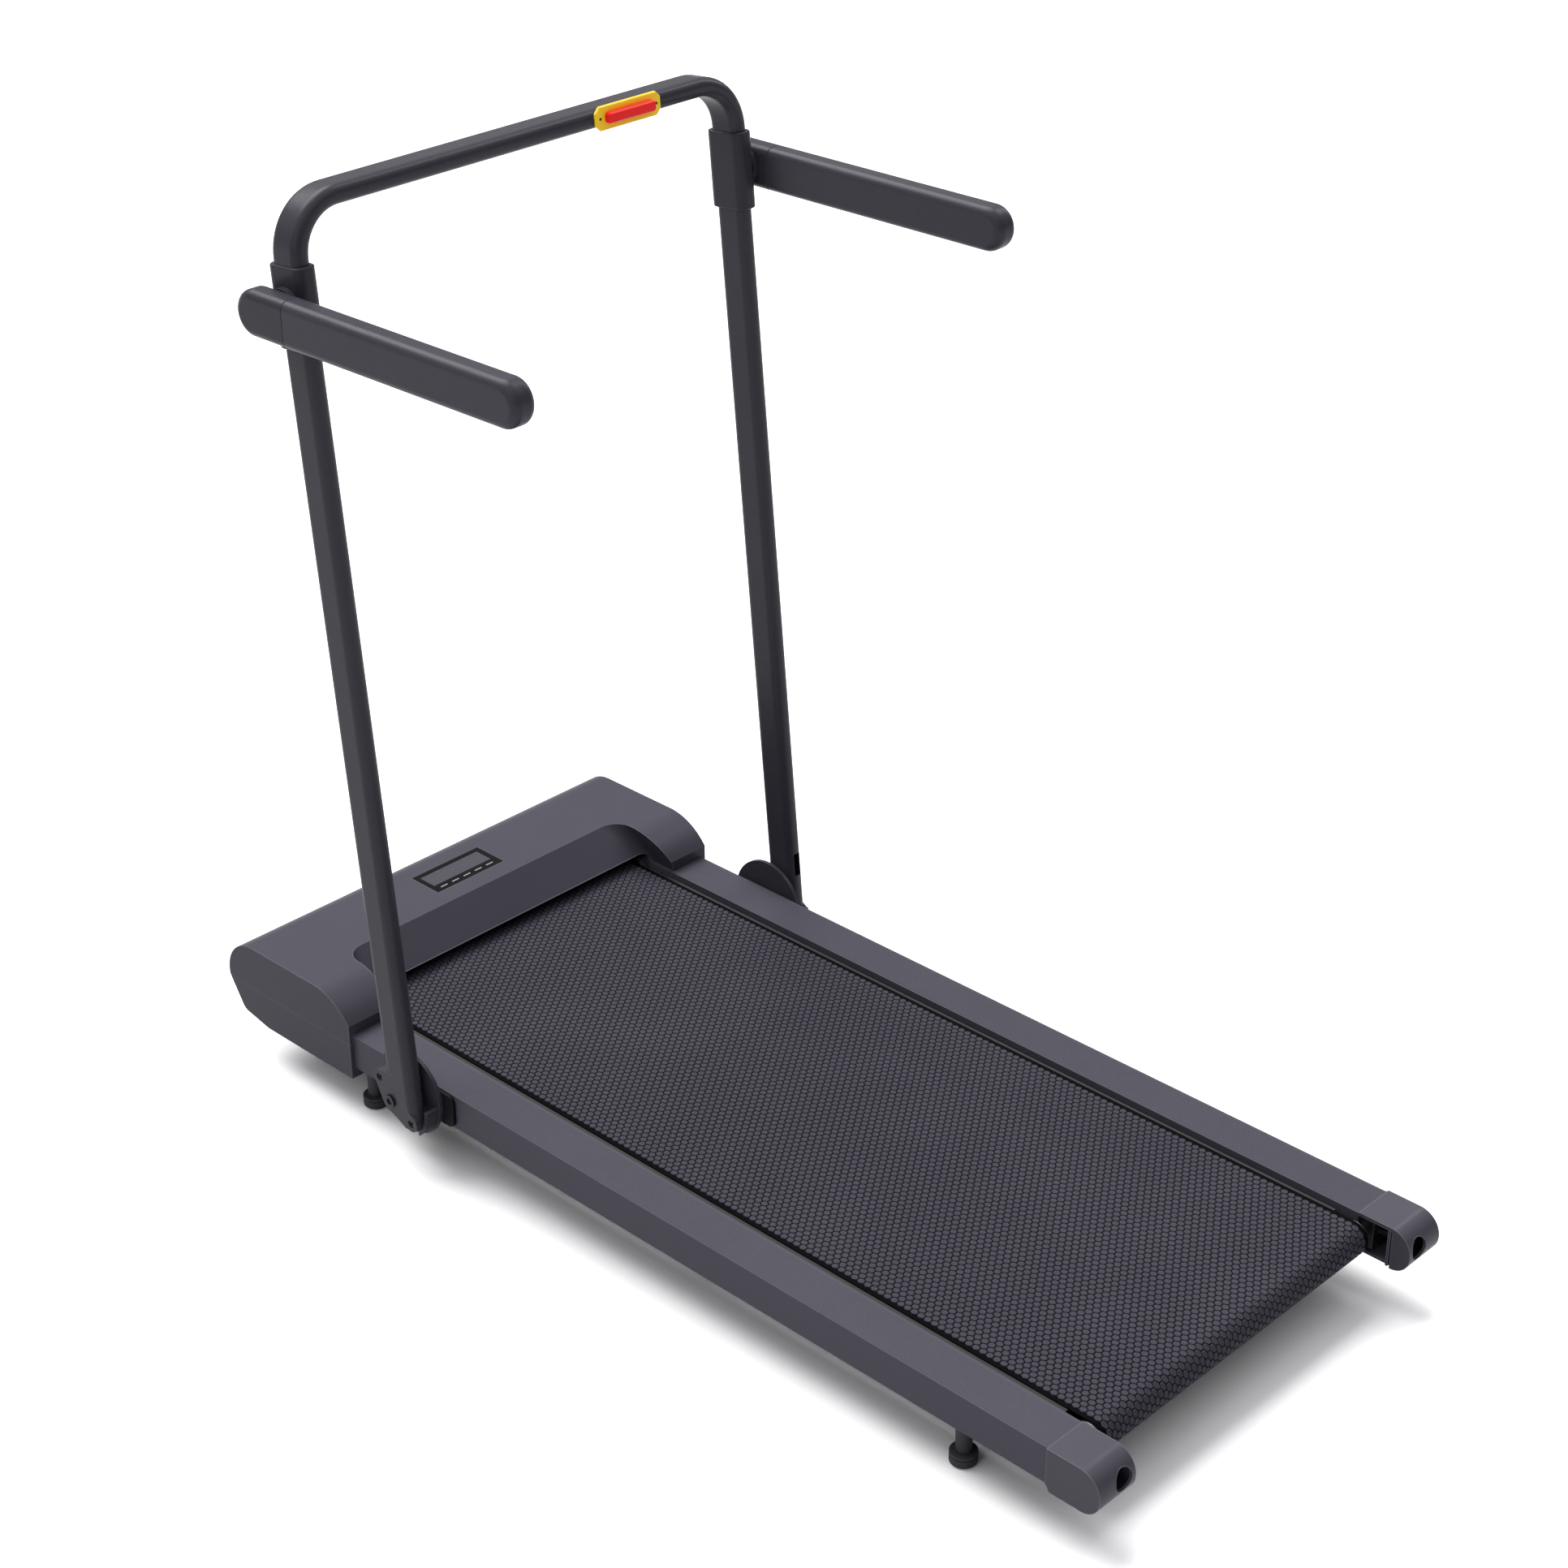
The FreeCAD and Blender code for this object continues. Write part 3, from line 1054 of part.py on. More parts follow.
def make_safety_key():
    """The stop key's plate on the crossbar's rear face, and the key that pulls off it."""
    rise = up_post("bar_height")
    half_w, half_h = value("key_width / 2"), value("key_height / 2")
    clip = 6
    corners = [(-half_w + clip, -half_h), (half_w - clip, -half_h), (half_w, -half_h + clip),
               (half_w, half_h - clip), (half_w - clip, half_h), (-half_w + clip, half_h),
               (-half_w, half_h - clip), (-half_w, -half_h + clip)]
    points = [FreeCAD.Vector(x, 0, z) for x, z in corners]
    plate_face = Part.Face(Part.makePolygon(points + points[:1]))
    back = value("post_depth / 2")
    plate = plate_face.extrude(FreeCAD.Vector(0, -value("key_plate"), 0))
    rims = [edge for edge in plate.Edges
            if edge.BoundBox.YLength < 1e-6 and edge.CenterOfMass.y < -value("key_plate") / 2]
    plate = plate.makeChamfer(1, rims)
    screws = []
    for number, sign in enumerate((-1, 1)):
        spot = FreeCAD.Vector(sign * (half_w - 6), 1, 0)
        plate = plate.cut(Part.makeCylinder(1.6, 20, spot, FreeCAD.Vector(0, -1, 0)))
        screws.append(Part.makeCylinder(1.6, value("key_plate") - 0.4 + 2,
                                        FreeCAD.Vector(sign * (half_w - 6), 2, 0), FreeCAD.Vector(0, -1, 0)))
    key_w, key_h, key_d = (value(word) for word in ("key_bar_width", "key_bar_height", "key_bar_depth"))
    key_front = -value("key_plate") - key_d
    key = Part.makeBox(key_w, key_d, key_h, FreeCAD.Vector(-key_w / 2, key_front, -key_h / 2))
    ends = [edge for edge in key.Edges if edge.BoundBox.YLength > key_d / 2]
    key = key.makeFillet(key_h * 0.32, ends)
    front = [edge for edge in key.Edges if edge.BoundBox.YLength < 1e-6
             and edge.CenterOfMass.y < -value("key_plate") - key_d / 2]
    key = key.makeChamfer(1.6, front)
    shapes = {"key_plate": plate, "safety_key": key, "key_screws": Part.makeCompound(screws)}
    for label, shape in shapes.items():
        item = formed(label, shape)
        lift(item, rise, f"0 - {back}")
        bind(item, Placement__Base__x="key_x")
        mark(item)


def make_screw_holes():
    """The crossbar is drilled for the two screws of the key's plate."""
    bar = [item for item in sub_parts if item.Label == "handlebar"][0]
    sub_parts.remove(bar)
    bar.Label = "handlebar_tube"
    drills = []
    for number, sign in enumerate((-1, 1)):
        drill = formed(f"key_drill_{number}", Part.makeCylinder(1.6, 6, FreeCAD.Vector(
            sign * value("key_width / 2 - 6"), 3, 0), FreeCAD.Vector(0, -1, 0)))
        lift(drill, up_post("bar_height"), "0 - post_depth / 2")
        bind(drill, Placement__Base__x="key_x")
        drills.append(drill)
    mark(cut("handlebar", bar, *drills))


def make_handle():
    for name, side in SIDES.items():
        make_hinge_plate(name, side)
        make_hinge_foot(name, side)
        make_post(name, side)
        make_collar(name, side)
        make_arm(name, side)
    mark(group("pivot_bolts", *[make_pivot_bolt(name, side) for name, side in SIDES.items()]))
    mark(group("hinge_screws", *[make_hinge_screw(name, side, spot)
                                 for name, side in SIDES.items() for spot in EAR_BOLTS]))
    mark(group("arm_pivots", *[make_arm_pivot(name, side) for name, side in SIDES.items()]))
    make_handlebar()
    make_safety_key()
    make_screw_holes()


# ---- build, check and write -----------------------------------------------

def check_document():
    document.recompute()
    for item in document.Objects:
        if "Invalid" in item.State or "Error" in item.State:
            raise RuntimeError(f"{item.Label} did not compute: {item.State}")
    for item in sub_parts:
        shape = item.Shape
        if shape.isNull() or not shape.isValid() or not shape.Solids:
            raise RuntimeError(f"{item.Label} has no valid solid")


def write_parts():
    os.makedirs("parts", exist_ok=True)
    for item in sub_parts:
        item.Shape.exportStep(f"parts/{item.Label}.step")
        print(f"{item.Label}: {len(item.Shape.Solids)} solids, {item.Shape.Volume:.0f} mm3")


make_frame()
make_deck()
make_rollers()
make_motor()
make_drive_belt()
make_electrics()
make_hood()
make_display()
make_sockets()
make_supports()
make_handle()
check_document()
write_parts()
print(len(sub_parts), "sub-parts")
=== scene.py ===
import bpy
import bmesh
import json
import math
from mathutils import Matrix, Vector


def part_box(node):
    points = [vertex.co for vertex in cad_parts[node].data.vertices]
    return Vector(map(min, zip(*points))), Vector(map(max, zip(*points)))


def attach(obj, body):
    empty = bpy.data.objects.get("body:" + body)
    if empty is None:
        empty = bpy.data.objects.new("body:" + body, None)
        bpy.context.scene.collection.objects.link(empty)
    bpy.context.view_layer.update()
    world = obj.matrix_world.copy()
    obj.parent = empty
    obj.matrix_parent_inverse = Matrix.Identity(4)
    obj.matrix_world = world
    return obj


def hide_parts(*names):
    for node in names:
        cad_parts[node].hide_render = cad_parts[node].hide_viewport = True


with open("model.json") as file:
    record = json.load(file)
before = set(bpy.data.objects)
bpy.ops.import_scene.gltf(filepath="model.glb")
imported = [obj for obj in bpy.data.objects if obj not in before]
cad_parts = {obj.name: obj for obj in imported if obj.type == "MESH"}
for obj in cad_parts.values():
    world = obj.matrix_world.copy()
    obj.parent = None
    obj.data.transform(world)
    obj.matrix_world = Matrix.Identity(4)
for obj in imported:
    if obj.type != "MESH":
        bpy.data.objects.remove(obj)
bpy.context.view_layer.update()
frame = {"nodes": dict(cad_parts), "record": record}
nodes = frame["nodes"]
groups = frame["record"]["behaviour"]["bodies"]
bodyOf = {node: body for body, members in groups.items() for node in members}
slotOf = {part["node"]: part["material_slot"] for part in frame["record"]["subparts"]}
mm = 0.001


# shader maths: a socket that Python's operators work on
class Value:
    def __init__(self, finish, socket):
        self.finish = finish
        self.socket = socket

    def maths(self, operation, *others):
        made = self.finish.tree.nodes.new("ShaderNodeMath")
        made.operation = operation
        for place, item in zip(made.inputs, (self,) + others):
            self.finish.feed(place, item)
        return Value(self.finish, made.outputs[0])

    def __add__(self, other):
        return self.maths("ADD", other)

    def __radd__(self, other):
        return self.maths("ADD", other)

    def __sub__(self, other):
        return self.maths("SUBTRACT", other)

    def __rsub__(self, other):
        return self.finish.constant(other).maths("SUBTRACT", self)

    def __mul__(self, other):
        return self.maths("MULTIPLY", other)

    def __rmul__(self, other):
        return self.maths("MULTIPLY", other)

    def ramp(self, low, high):  # smooth step from 0 at low to 1 at high
        made = self.finish.node("MapRange", {"interpolation_type": "SMOOTHSTEP"},
                                Value=self, From_Min=low, From_Max=high)
        return Value(self.finish, made.outputs["Result"])


class Finish:
    def __init__(self, owner, shader, coordinates="Object"):
        owner.use_nodes = True
        self.owner = owner
        self.tree = owner.node_tree
        self.shader = self.tree.nodes[shader]
        place = self.node("TexCoord")
        self.place = Value(self, place.outputs[coordinates])
        parts = self.node("SeparateXYZ", Vector=self.place)
        self.x, self.y, self.z = (Value(self, parts.outputs[axis]) for axis in "XYZ")

    def node(self, kind, settings=None, **sockets):
        made = self.tree.nodes.new("ShaderNode" + kind)
        for key, item in (settings or {}).items():
            setattr(made, key, item)
        for key, item in sockets.items():
            self.feed(made.inputs[key.replace("_", " ")], item)
        return made

    def feed(self, socket, item):
        if isinstance(item, Value):
            self.tree.links.new(item.socket, socket)
        else:
            socket.default_value = item

    def constant(self, amount):
        made = self.tree.nodes.new("ShaderNodeValue")
        made.outputs[0].default_value = amount
        return Value(self, made.outputs[0])

    def noise(self, scale, detail=2.0, roughness=0.5, stretch=(1, 1, 1)):
        place = self.place
        if stretch != (1, 1, 1):
            mapped = self.node("Mapping", Vector=place)
            mapped.inputs["Scale"].default_value = stretch
            place = Value(self, mapped.outputs[0])
        made = self.node("TexNoise", Vector=place, Scale=scale, Detail=detail, Roughness=roughness)
        return Value(self, made.outputs[0])

    def mix(self, first, second, factor):
        made = self.tree.nodes.new("ShaderNodeMix")
        made.data_type = "RGBA"
        for index, item in ((0, factor), (6, first), (7, second)):
            self.feed(made.inputs[index], item + (1.0,) if isinstance(item, tuple) else item)
        return Value(self, made.outputs[2])

    def bump(self, height, distance):
        made = self.node("Bump", Height=height, Distance=distance)
        return Value(self, made.outputs[0])

    def edges(self, radius, faint=0.004, full=0.12, samples=4):  # 1 along sharp outer edges, 0 on the flats
        rounded = self.node("Bevel", {"samples": samples}, Radius=radius)
        true = self.node("NewGeometry")
        dot = self.node("VectorMath", {"operation": "DOT_PRODUCT"})
        self.tree.links.new(rounded.outputs[0], dot.inputs[0])
        self.tree.links.new(true.outputs["Normal"], dot.inputs[1])
        return (1 - Value(self, dot.outputs["Value"])).ramp(faint, full)

    def set(self, **sockets):
        for key, item in sockets.items():
            if isinstance(item, tuple):
                item = item + (1.0,)
            self.feed(self.shader.inputs[key.replace("_", " ")], item)


def newFinish(name):
    return Finish(bpy.data.materials.new(name), "Principled BSDF")


# the gain and lift set how much paler the painted edge highlight is than the tint
satinShare = {"mottleScale": 14, "highlightGain": 2.6, "highlightLift": 0.02, "mottleRoughness": 0.12,
              "grainRoughness": 0.08, "gloss": 0.5}


# moulded plastic and powder coat: fine grain, slight mottle, and sharp edges painted paler as a highlight
def satinFinish(name, look):
    look = satinShare | look
    made = newFinish(name)
    tint = look["tint"]
    mottle = made.noise(look["mottleScale"], 3)
    grain = made.noise(look["grainScale"], 2)
    dark = tuple(channel * (1 - look["mottle"]) for channel in tint)
    pale = tuple(channel * (1 + look["mottle"]) for channel in tint)
    colour = made.mix(dark, pale, mottle)
    # painted highlight: the bevel mask lightens the colour along sharp edges
    if look.get("edge"):
        edgeHighlight = made.edges(look["edgeRadius"]) * look["edge"]
        highlitTint = tuple(min(1, channel * look["highlightGain"] + look["highlightLift"]) for channel in tint)
        colour = made.mix(colour, highlitTint, edgeHighlight)
    wander = (mottle - 0.5) * look["mottleRoughness"] + (grain - 0.5) * look["grainRoughness"]
    made.set(Base_Color=colour, Roughness=wander + look["roughness"],
             Normal=made.bump(grain, look["grainHeight"]))
    made.set(Specular_IOR_Level=look["gloss"])
    return made.owner


def turnedMetal(name, look):
    made = newFinish(name)
    rings = made.noise(look["ringScale"], 2, 0.6, (1, 0.06, 0.06))
    made.set(Base_Color=made.mix(look["groove"], look["tint"], rings),
             Roughness=look["roughness"] + rings * look["spread"], Normal=made.bump(rings, look["relief"]))
    made.set(Metallic=1.0)
    return made.owner


def boardWood(name, look):
    made = newFinish(name)
    fibre = made.noise(look["fibreScale"], 5, 0.6, (1, 0.05, 1))
    made.set(Base_Color=made.mix(look["dark"], look["pale"], fibre),
             Roughness=look["roughness"] + fibre * look["spread"], Normal=made.bump(fibre, look["relief"]))
    return made.owner


def circuitBoard(name, look):
    made = newFinish(name)
    patches = made.node("TexVoronoi", {"distance": "CHEBYCHEV"}, Vector=made.place, Scale=look["cellScale"])
    cell = Value(made, patches.outputs["Distance"]).ramp(*look["border"])
    made.set(Base_Color=made.mix(look["copper"], look["mask"], cell),
             Roughness=look["roughness"] + cell * look["spread"])
    return made.owner


treadShare = {"wanderScale": 9, "fineScale": 1500, "dustRise": (0.35, 0.8), "dustGrain": 0.15, "spread": 0.12}


# running belt: the sheet between the cells, near black as painted shade, and the tops of the cells
def treadRubber(name, look):
    look = treadShare | look
    made = newFinish(name)
    wander = made.noise(look["wanderScale"], 3)
    fine = made.noise(look["fineScale"], 2)
    dusty = wander.ramp(*look["dustRise"]) * look["dustAmount"] + fine * look["dustGrain"]
    made.set(Base_Color=made.mix(look["rubber"], look["dust"], dusty),
             Roughness=look["roughness"] + fine * look["spread"], Normal=made.bump(fine, look["relief"]))
    made.set(Specular_IOR_Level=look["gloss"])
    return made.owner


def clearWindow(name, look):
    made = newFinish(name)
    haze = made.noise(look["hazeScale"], 2)
    made.set(Base_Color=made.mix(look["tint"], look["pale"], haze),
             Roughness=look["roughness"] + haze * look["spread"])
    made.set(Specular_IOR_Level=look["gloss"])
    return made.owner


def litPlastic(name, look):
    made = newFinish(name)
    soft = made.noise(look["softScale"], 1)
    made.set(Base_Color=made.mix(look["tint"], look["pale"], soft),
             Roughness=look["roughness"] + soft * look["spread"],
             Emission_Color=made.mix(look["glow"], look["tint"], soft))
    made.set(Emission_Strength=look["strength"])
    return made.owner


satinLooks = {
    "hood_plastic": {"tint": (0.046, 0.044, 0.057), "roughness": 0.36, "gloss": 0.08, "mottle": 0.05,
                     "grainScale": 2200, "grainHeight": 0.00005, "edge": 0.8, "edgeRadius": 0.0018},
    "cap_plastic": {"tint": (0.053, 0.051, 0.064), "roughness": 0.3, "gloss": 0.12, "mottle": 0.05,
                    "grainScale": 2200, "grainHeight": 0.00005, "edge": 0.9, "edgeRadius": 0.0014},
    "rail_metal": {"tint": (0.054, 0.052, 0.067), "roughness": 0.4, "gloss": 0.08, "mottle": 0.06,
                   "grainScale": 2600, "grainHeight": 0.00004, "edge": 0.25, "edgeRadius": 0.0009},
    "handle_paint": {"tint": (0.034, 0.033, 0.042), "roughness": 0.26, "gloss": 0.13, "mottle": 0.06,
                     "grainScale": 2400, "grainHeight": 0.00005, "edge": 0.5, "edgeRadius": 0.0008},
    "collar_plastic": {"tint": (0.030, 0.029, 0.037), "roughness": 0.3, "gloss": 0.12, "mottle": 0.05,
                       "grainScale": 2600, "grainHeight": 0.00005, "edge": 0.5, "edgeRadius": 0.0009},
    "grip_plastic": {"tint": (0.036, 0.035, 0.045), "roughness": 0.28, "gloss": 0.12, "mottle": 0.05,
                     "grainScale": 3000, "grainHeight": 0.00006, "edge": 0.4, "edgeRadius": 0.0008},
    "frame_steel": {"tint": (0.008, 0.008, 0.010), "roughness": 0.5, "gloss": 0.05, "mottle": 0.1,
                    "grainScale": 2200, "grainHeight": 0.00006, "edge": 0.15, "edgeRadius": 0.0006},
    "stem_steel": {"tint": (0.024, 0.024, 0.028), "roughness": 0.42, "gloss": 0.3, "mottle": 0.08,
                   "grainScale": 2600, "grainHeight": 0.00005},
    "rubber_black": {"tint": (0.034, 0.034, 0.038), "roughness": 0.72, "gloss": 0.35, "mottle": 0.15,
                     "grainScale": 1800, "grainHeight": 0.0001},
    "bolt_black": {"tint": (0.004, 0.004, 0.005), "roughness": 0.34, "gloss": 0.3, "mottle": 0.1,
                   "grainScale": 2600, "grainHeight": 0.00004, "edge": 0.4, "edgeRadius": 0.0005},
    "motor_case": {"tint": (0.030, 0.030, 0.032), "roughness": 0.38, "mottle": 0.08, "grainScale": 2400,
                   "grainHeight": 0.00005},
    "display_black": {"tint": (0.0015, 0.0015, 0.002), "roughness": 0.6, "gloss": 0.06, "mottle": 0.05,
                      "grainScale": 2600, "grainHeight": 0.00003},
    "wheel_plastic": {"tint": (0.024, 0.024, 0.026), "roughness": 0.55, "mottle": 0.1, "grainScale": 2000,
                      "grainHeight": 0.00006},
    "key_yellow": {"tint": (0.93, 0.60, 0.02), "roughness": 0.38, "gloss": 0.25, "mottle": 0.04,
                   "grainScale": 2200, "grainHeight": 0.00004},
    "key_red": {"tint": (0.84, 0.010, 0.010), "roughness": 0.3, "gloss": 0.2, "mottle": 0.05,
                "grainScale": 2200, "grainHeight": 0.00004},
}
finishes = {slot: satinFinish(slot, look) for slot, look in satinLooks.items()}
finishes["roller_steel"] = turnedMetal("roller_steel", {
    "tint": (0.16, 0.16, 0.17), "groove": (0.128, 0.128, 0.136), "ringScale": 900, "roughness": 0.24,
    "spread": 0.2, "relief": 0.00006})
# near black: the board's black laminate, and painted shade for the gap beside the belt
finishes["board_wood"] = boardWood("board_wood", {
    "dark": (0.002, 0.002, 0.002), "pale": (0.005, 0.005, 0.005), "fibreScale": 160, "roughness": 0.62,
    "spread": 0.2, "relief": 0.0002})
finishes["circuit"] = circuitBoard("circuit", {
    "mask": (0.012, 0.07, 0.03), "copper": (0.16, 0.10, 0.035), "cellScale": 160, "border": (0.2, 0.35),
    "roughness": 0.35, "spread": 0.2})
finishes["display_glass"] = clearWindow("display_glass", {
    "tint": (0.036, 0.034, 0.045), "pale": (0.039, 0.037, 0.048), "hazeScale": 60, "roughness": 0.24,
    "spread": 0.08, "gloss": 0.2})
finishes["indicator_white"] = litPlastic("indicator_white", {
    "tint": (0.16, 0.16, 0.18), "pale": (0.2, 0.2, 0.22), "glow": (0.2, 0.2, 0.22), "strength": 0.08,
    "softScale": 300, "roughness": 0.35, "spread": 0.1})
treadLooks = {
    # near-black sheet: painted shade in the grooves between the cells and in the gap beside the belt
    "beltGrooveShade": {"rubber": (0.0015, 0.0015, 0.002), "dust": (0.003, 0.003, 0.004), "dustAmount": 0.4,
                  "gloss": 0.03, "roughness": 0.75, "relief": 0.0001},
    "belt_rubber": {"rubber": (0.029, 0.027, 0.038), "dust": (0.038, 0.036, 0.048), "dustAmount": 0.5,
                    "gloss": 0.12, "roughness": 0.45, "relief": 0.00015},
}
for name, look in treadLooks.items():
    finishes[name] = treadRubber(name, look)
print("finishes made:", len(finishes))


def addPiece(name, mesh, node, slot, stands=(), finish=None):
    made = bpy.data.objects.new(name, mesh)
    bpy.context.scene.collection.objects.link(made)
    mesh.materials.clear()
    mesh.materials.append(finishes[finish or slot])
    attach(made, bodyOf[node])
    if stands:
        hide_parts(*stands)


def settled(made):  # the object's modifiers become its mesh
    depsgraph = bpy.context.evaluated_depsgraph_get()
    return bpy.data.meshes.new_from_object(made.evaluated_get(depsgraph))


skinWork = {"merge": 0.002 * mm, "flat": 0.4, "segments": 2, "weight": 60, "width": 0.3, "angle": 28}
skinLooks = {  # bevel width in mm, and the angle in degrees past which an edge is bevelled
    "hood_plastic": (0.8, 24), "cap_plastic": (0.8, 24), "rail_metal": (0.7, 24), "handle_paint": (0.5, 26),
    "collar_plastic": (0.6, 26), "grip_plastic": (0.5, 26), "frame_steel": (0.4, 26),
    "key_yellow": (0.35, 24), "key_red": (0.4, 24), "display_black": (0.25, 26),
}


def addSkin(node):
    slot = slotOf[node]
    width, angle = skinLooks.get(slot, (skinWork["width"], skinWork["angle"]))
    mesh = nodes[node].data.copy()
    shape = bmesh.new()
    shape.from_mesh(mesh)
    bmesh.ops.remove_doubles(shape, verts=shape.verts, dist=skinWork["merge"])
    bmesh.ops.dissolve_limit(shape, angle_limit=math.radians(skinWork["flat"]), verts=shape.verts,
                             edges=shape.edges)
    for face in shape.faces:
        face.smooth = True
    shape.to_mesh(mesh)
    shape.free()
    blank = bpy.data.objects.new(node + "_blank", mesh)
    bpy.context.scene.collection.objects.link(blank)
    bevel = blank.modifiers.new("edges", "BEVEL")
    bevel.width = width * mm
    bevel.segments = skinWork["segments"]
    bevel.limit_method = "ANGLE"
    bevel.angle_limit = math.radians(angle)
    weighted = blank.modifiers.new("shade", "WEIGHTED_NORMAL")
    weighted.mode = "FACE_AREA"
    weighted.weight = skinWork["weight"]
    finished = settled(blank)
    bpy.data.objects.remove(blank)
    addPiece(node + "_skin", finished, node, slot, [node])


# a closed ring of four-cornered sections, each given as its four points
def ringMesh(name, sections, smooth):
    shape = bmesh.new()
    rings = [[shape.verts.new(point) for point in section] for section in sections]
    for index, ring in enumerate(rings):
        after = rings[(index + 1) % len(rings)]
        for side in range(4):
            corner = (side + 1) % 4
            face = shape.faces.new((ring[side], ring[corner], after[corner], after[side]))
            face.smooth = smooth
    bmesh.ops.recalc_face_normals(shape, faces=shape.faces)
    mesh = bpy.data.meshes.new(name)
    shape.to_mesh(mesh)
    shape.free()
    return mesh


# the belt's smooth loop, a cell's height under its true surface
def addBelt(look):
    low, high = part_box("running_belt")
    radius = (high.z - low.z) / 2
    middle = (high.z + low.z) / 2
    rear, front = low.y + radius, high.y - radius
    turn = [math.pi * step / look["turnSteps"] for step in range(look["turnSteps"] + 1)]
    stations = [(front, math.pi / 2 - angle) for angle in turn]
    stations += [(rear, -math.pi / 2 - angle) for angle in turn]
    outer, inner = radius - look["relief"], radius - look["thickness"]
    mesh = ringMesh("runningBelt", [
        [(x, y + reach * math.cos(angle), middle + reach * math.sin(angle))
         for x, reach in ((low.x, outer), (high.x, outer), (high.x, inner), (low.x, inner))]
        for y, angle in stations], True)
    mesh.set_sharp_from_angle(angle=math.radians(look["sharp"]))
    # the loop takes the near-black finish that paints shade in the grooves
    addPiece("running_belt_loop", mesh, "running_belt", "belt_rubber", ["running_belt"], "beltGrooveShade")


# a tree of geometry nodes with named inputs
class Recipe:
    def __init__(self, name, inputs):
        self.tree = bpy.data.node_groups.new(name, "GeometryNodeTree")
        self.tree.is_modifier = True
        self.sockets = {}
        for label, kind in inputs.items():
            socket = self.tree.interface.new_socket(label, in_out="INPUT", socket_type="NodeSocket" + kind)
            self.sockets[label] = socket.identifier
        self.tree.interface.new_socket("Geometry", in_out="OUTPUT", socket_type="NodeSocketGeometry")
        self.given = self.tree.nodes.new("NodeGroupInput")
        self.result = self.tree.nodes.new("NodeGroupOutput")

    def node(self, kind, settings=None, **sockets):
        made = self.tree.nodes.new(kind)
        for key, item in (settings or {}).items():
            setattr(made, key, item)
        for key, item in sockets.items():
            socket = made.inputs[key.replace("_", " ")]
            if isinstance(item, bpy.types.NodeSocket):
                self.tree.links.new(item, socket)
            else:
                socket.default_value = item
        return made

    def maths(self, operation, first, second):
        made = self.tree.nodes.new("ShaderNodeMath")
        made.operation = operation
        for socket, item in zip(made.inputs, (first, second)):
            if isinstance(item, bpy.types.NodeSocket):
                self.join(item, socket)
            else:
                socket.default_value = item
        return made.outputs[0]

    def join(self, start, end):
        self.tree.links.new(start, end)

    def run(self, name, values):
        holder = bpy.data.objects.new(name + "_blank", bpy.data.meshes.new(name))
        bpy.context.scene.collection.objects.link(holder)
        modifier = holder.modifiers.new("recipe", "NODES")
        modifier.node_group = self.tree
        for label, item in values.items():
            modifier[self.sockets[label]] = item
        mesh = settled(holder)
        bpy.data.objects.remove(holder)
        return mesh


# fine ribs along the top of each side rail
def ribRecipe():
    recipe = Recipe("railRibs", {
        "Count": "Int", "Pitch": "Float", "Rib Width": "Float", "Rib Height": "Float",
        "Length": "Float", "Start": "Vector", "Finish": "Material"})
    given = recipe.given.outputs
    step = recipe.node("ShaderNodeCombineXYZ", X=given["Pitch"])
    line = recipe.node("GeometryNodeMeshLine", Count=given["Count"], Start_Location=given["Start"],
                       Offset=step.outputs[0])
    size = recipe.node("ShaderNodeCombineXYZ", X=given["Rib Width"], Y=given["Length"], Z=given["Rib Height"])
    rib = recipe.node("GeometryNodeMeshCube", Size=size.outputs[0])
    spread = recipe.node("GeometryNodeInstanceOnPoints", Points=line.outputs[0], Instance=rib.outputs["Mesh"])
    whole = recipe.node("GeometryNodeRealizeInstances", Geometry=spread.outputs[0])
    painted = recipe.node("GeometryNodeSetMaterial", Geometry=whole.outputs[0], Material=given["Finish"])
    recipe.join(painted.outputs[0], recipe.result.inputs[0])
    return recipe


railRibLook = {"pitch": 1.5 * mm, "width": 0.75 * mm, "height": 0.3 * mm, "margin": 2.4 * mm,
               "buried": 0.05 * mm, "shortened": 1 * mm}


def addRailRibs(recipe, side, look):
    low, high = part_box("side_rail_" + side)
    width = high.x - low.x - 2 * look["margin"]
    count = int(width / look["pitch"]) + 1
    first = (low.x + high.x) / 2 - look["pitch"] * (count - 1) / 2
    start = (first, (low.y + high.y) / 2, high.z + look["height"] / 2 - look["buried"])
    mesh = recipe.run("railRibs", {
        "Count": count, "Pitch": look["pitch"], "Rib Width": look["width"], "Rib Height": look["height"],
        "Length": high.y - low.y - look["shortened"], "Start": start, "Finish": finishes["rail_metal"]})
    addPiece("rail_ribs_" + side, mesh, "side_rail_" + side, "rail_metal")


# dark joint line between each rail and its end cap
def addCapSeal(side, look):
    low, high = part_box("side_rail_" + side)
    sections = []
    for inset, depth in ((-look["proud"], 0), (-look["proud"], look["width"]), (look["depth"], look["width"]),
                         (look["depth"], 0)):
        left, right, under, top = low.x + inset, high.x - inset, low.z + inset, high.z - inset
        sections.append([(x, low.y + depth, z)
                         for x, z in ((left, under), (right, under), (right, top), (left, top))])
    addPiece("cap_seal_" + side, ringMesh("capSeal", sections, False), "side_rail_" + side, "rubber_black")


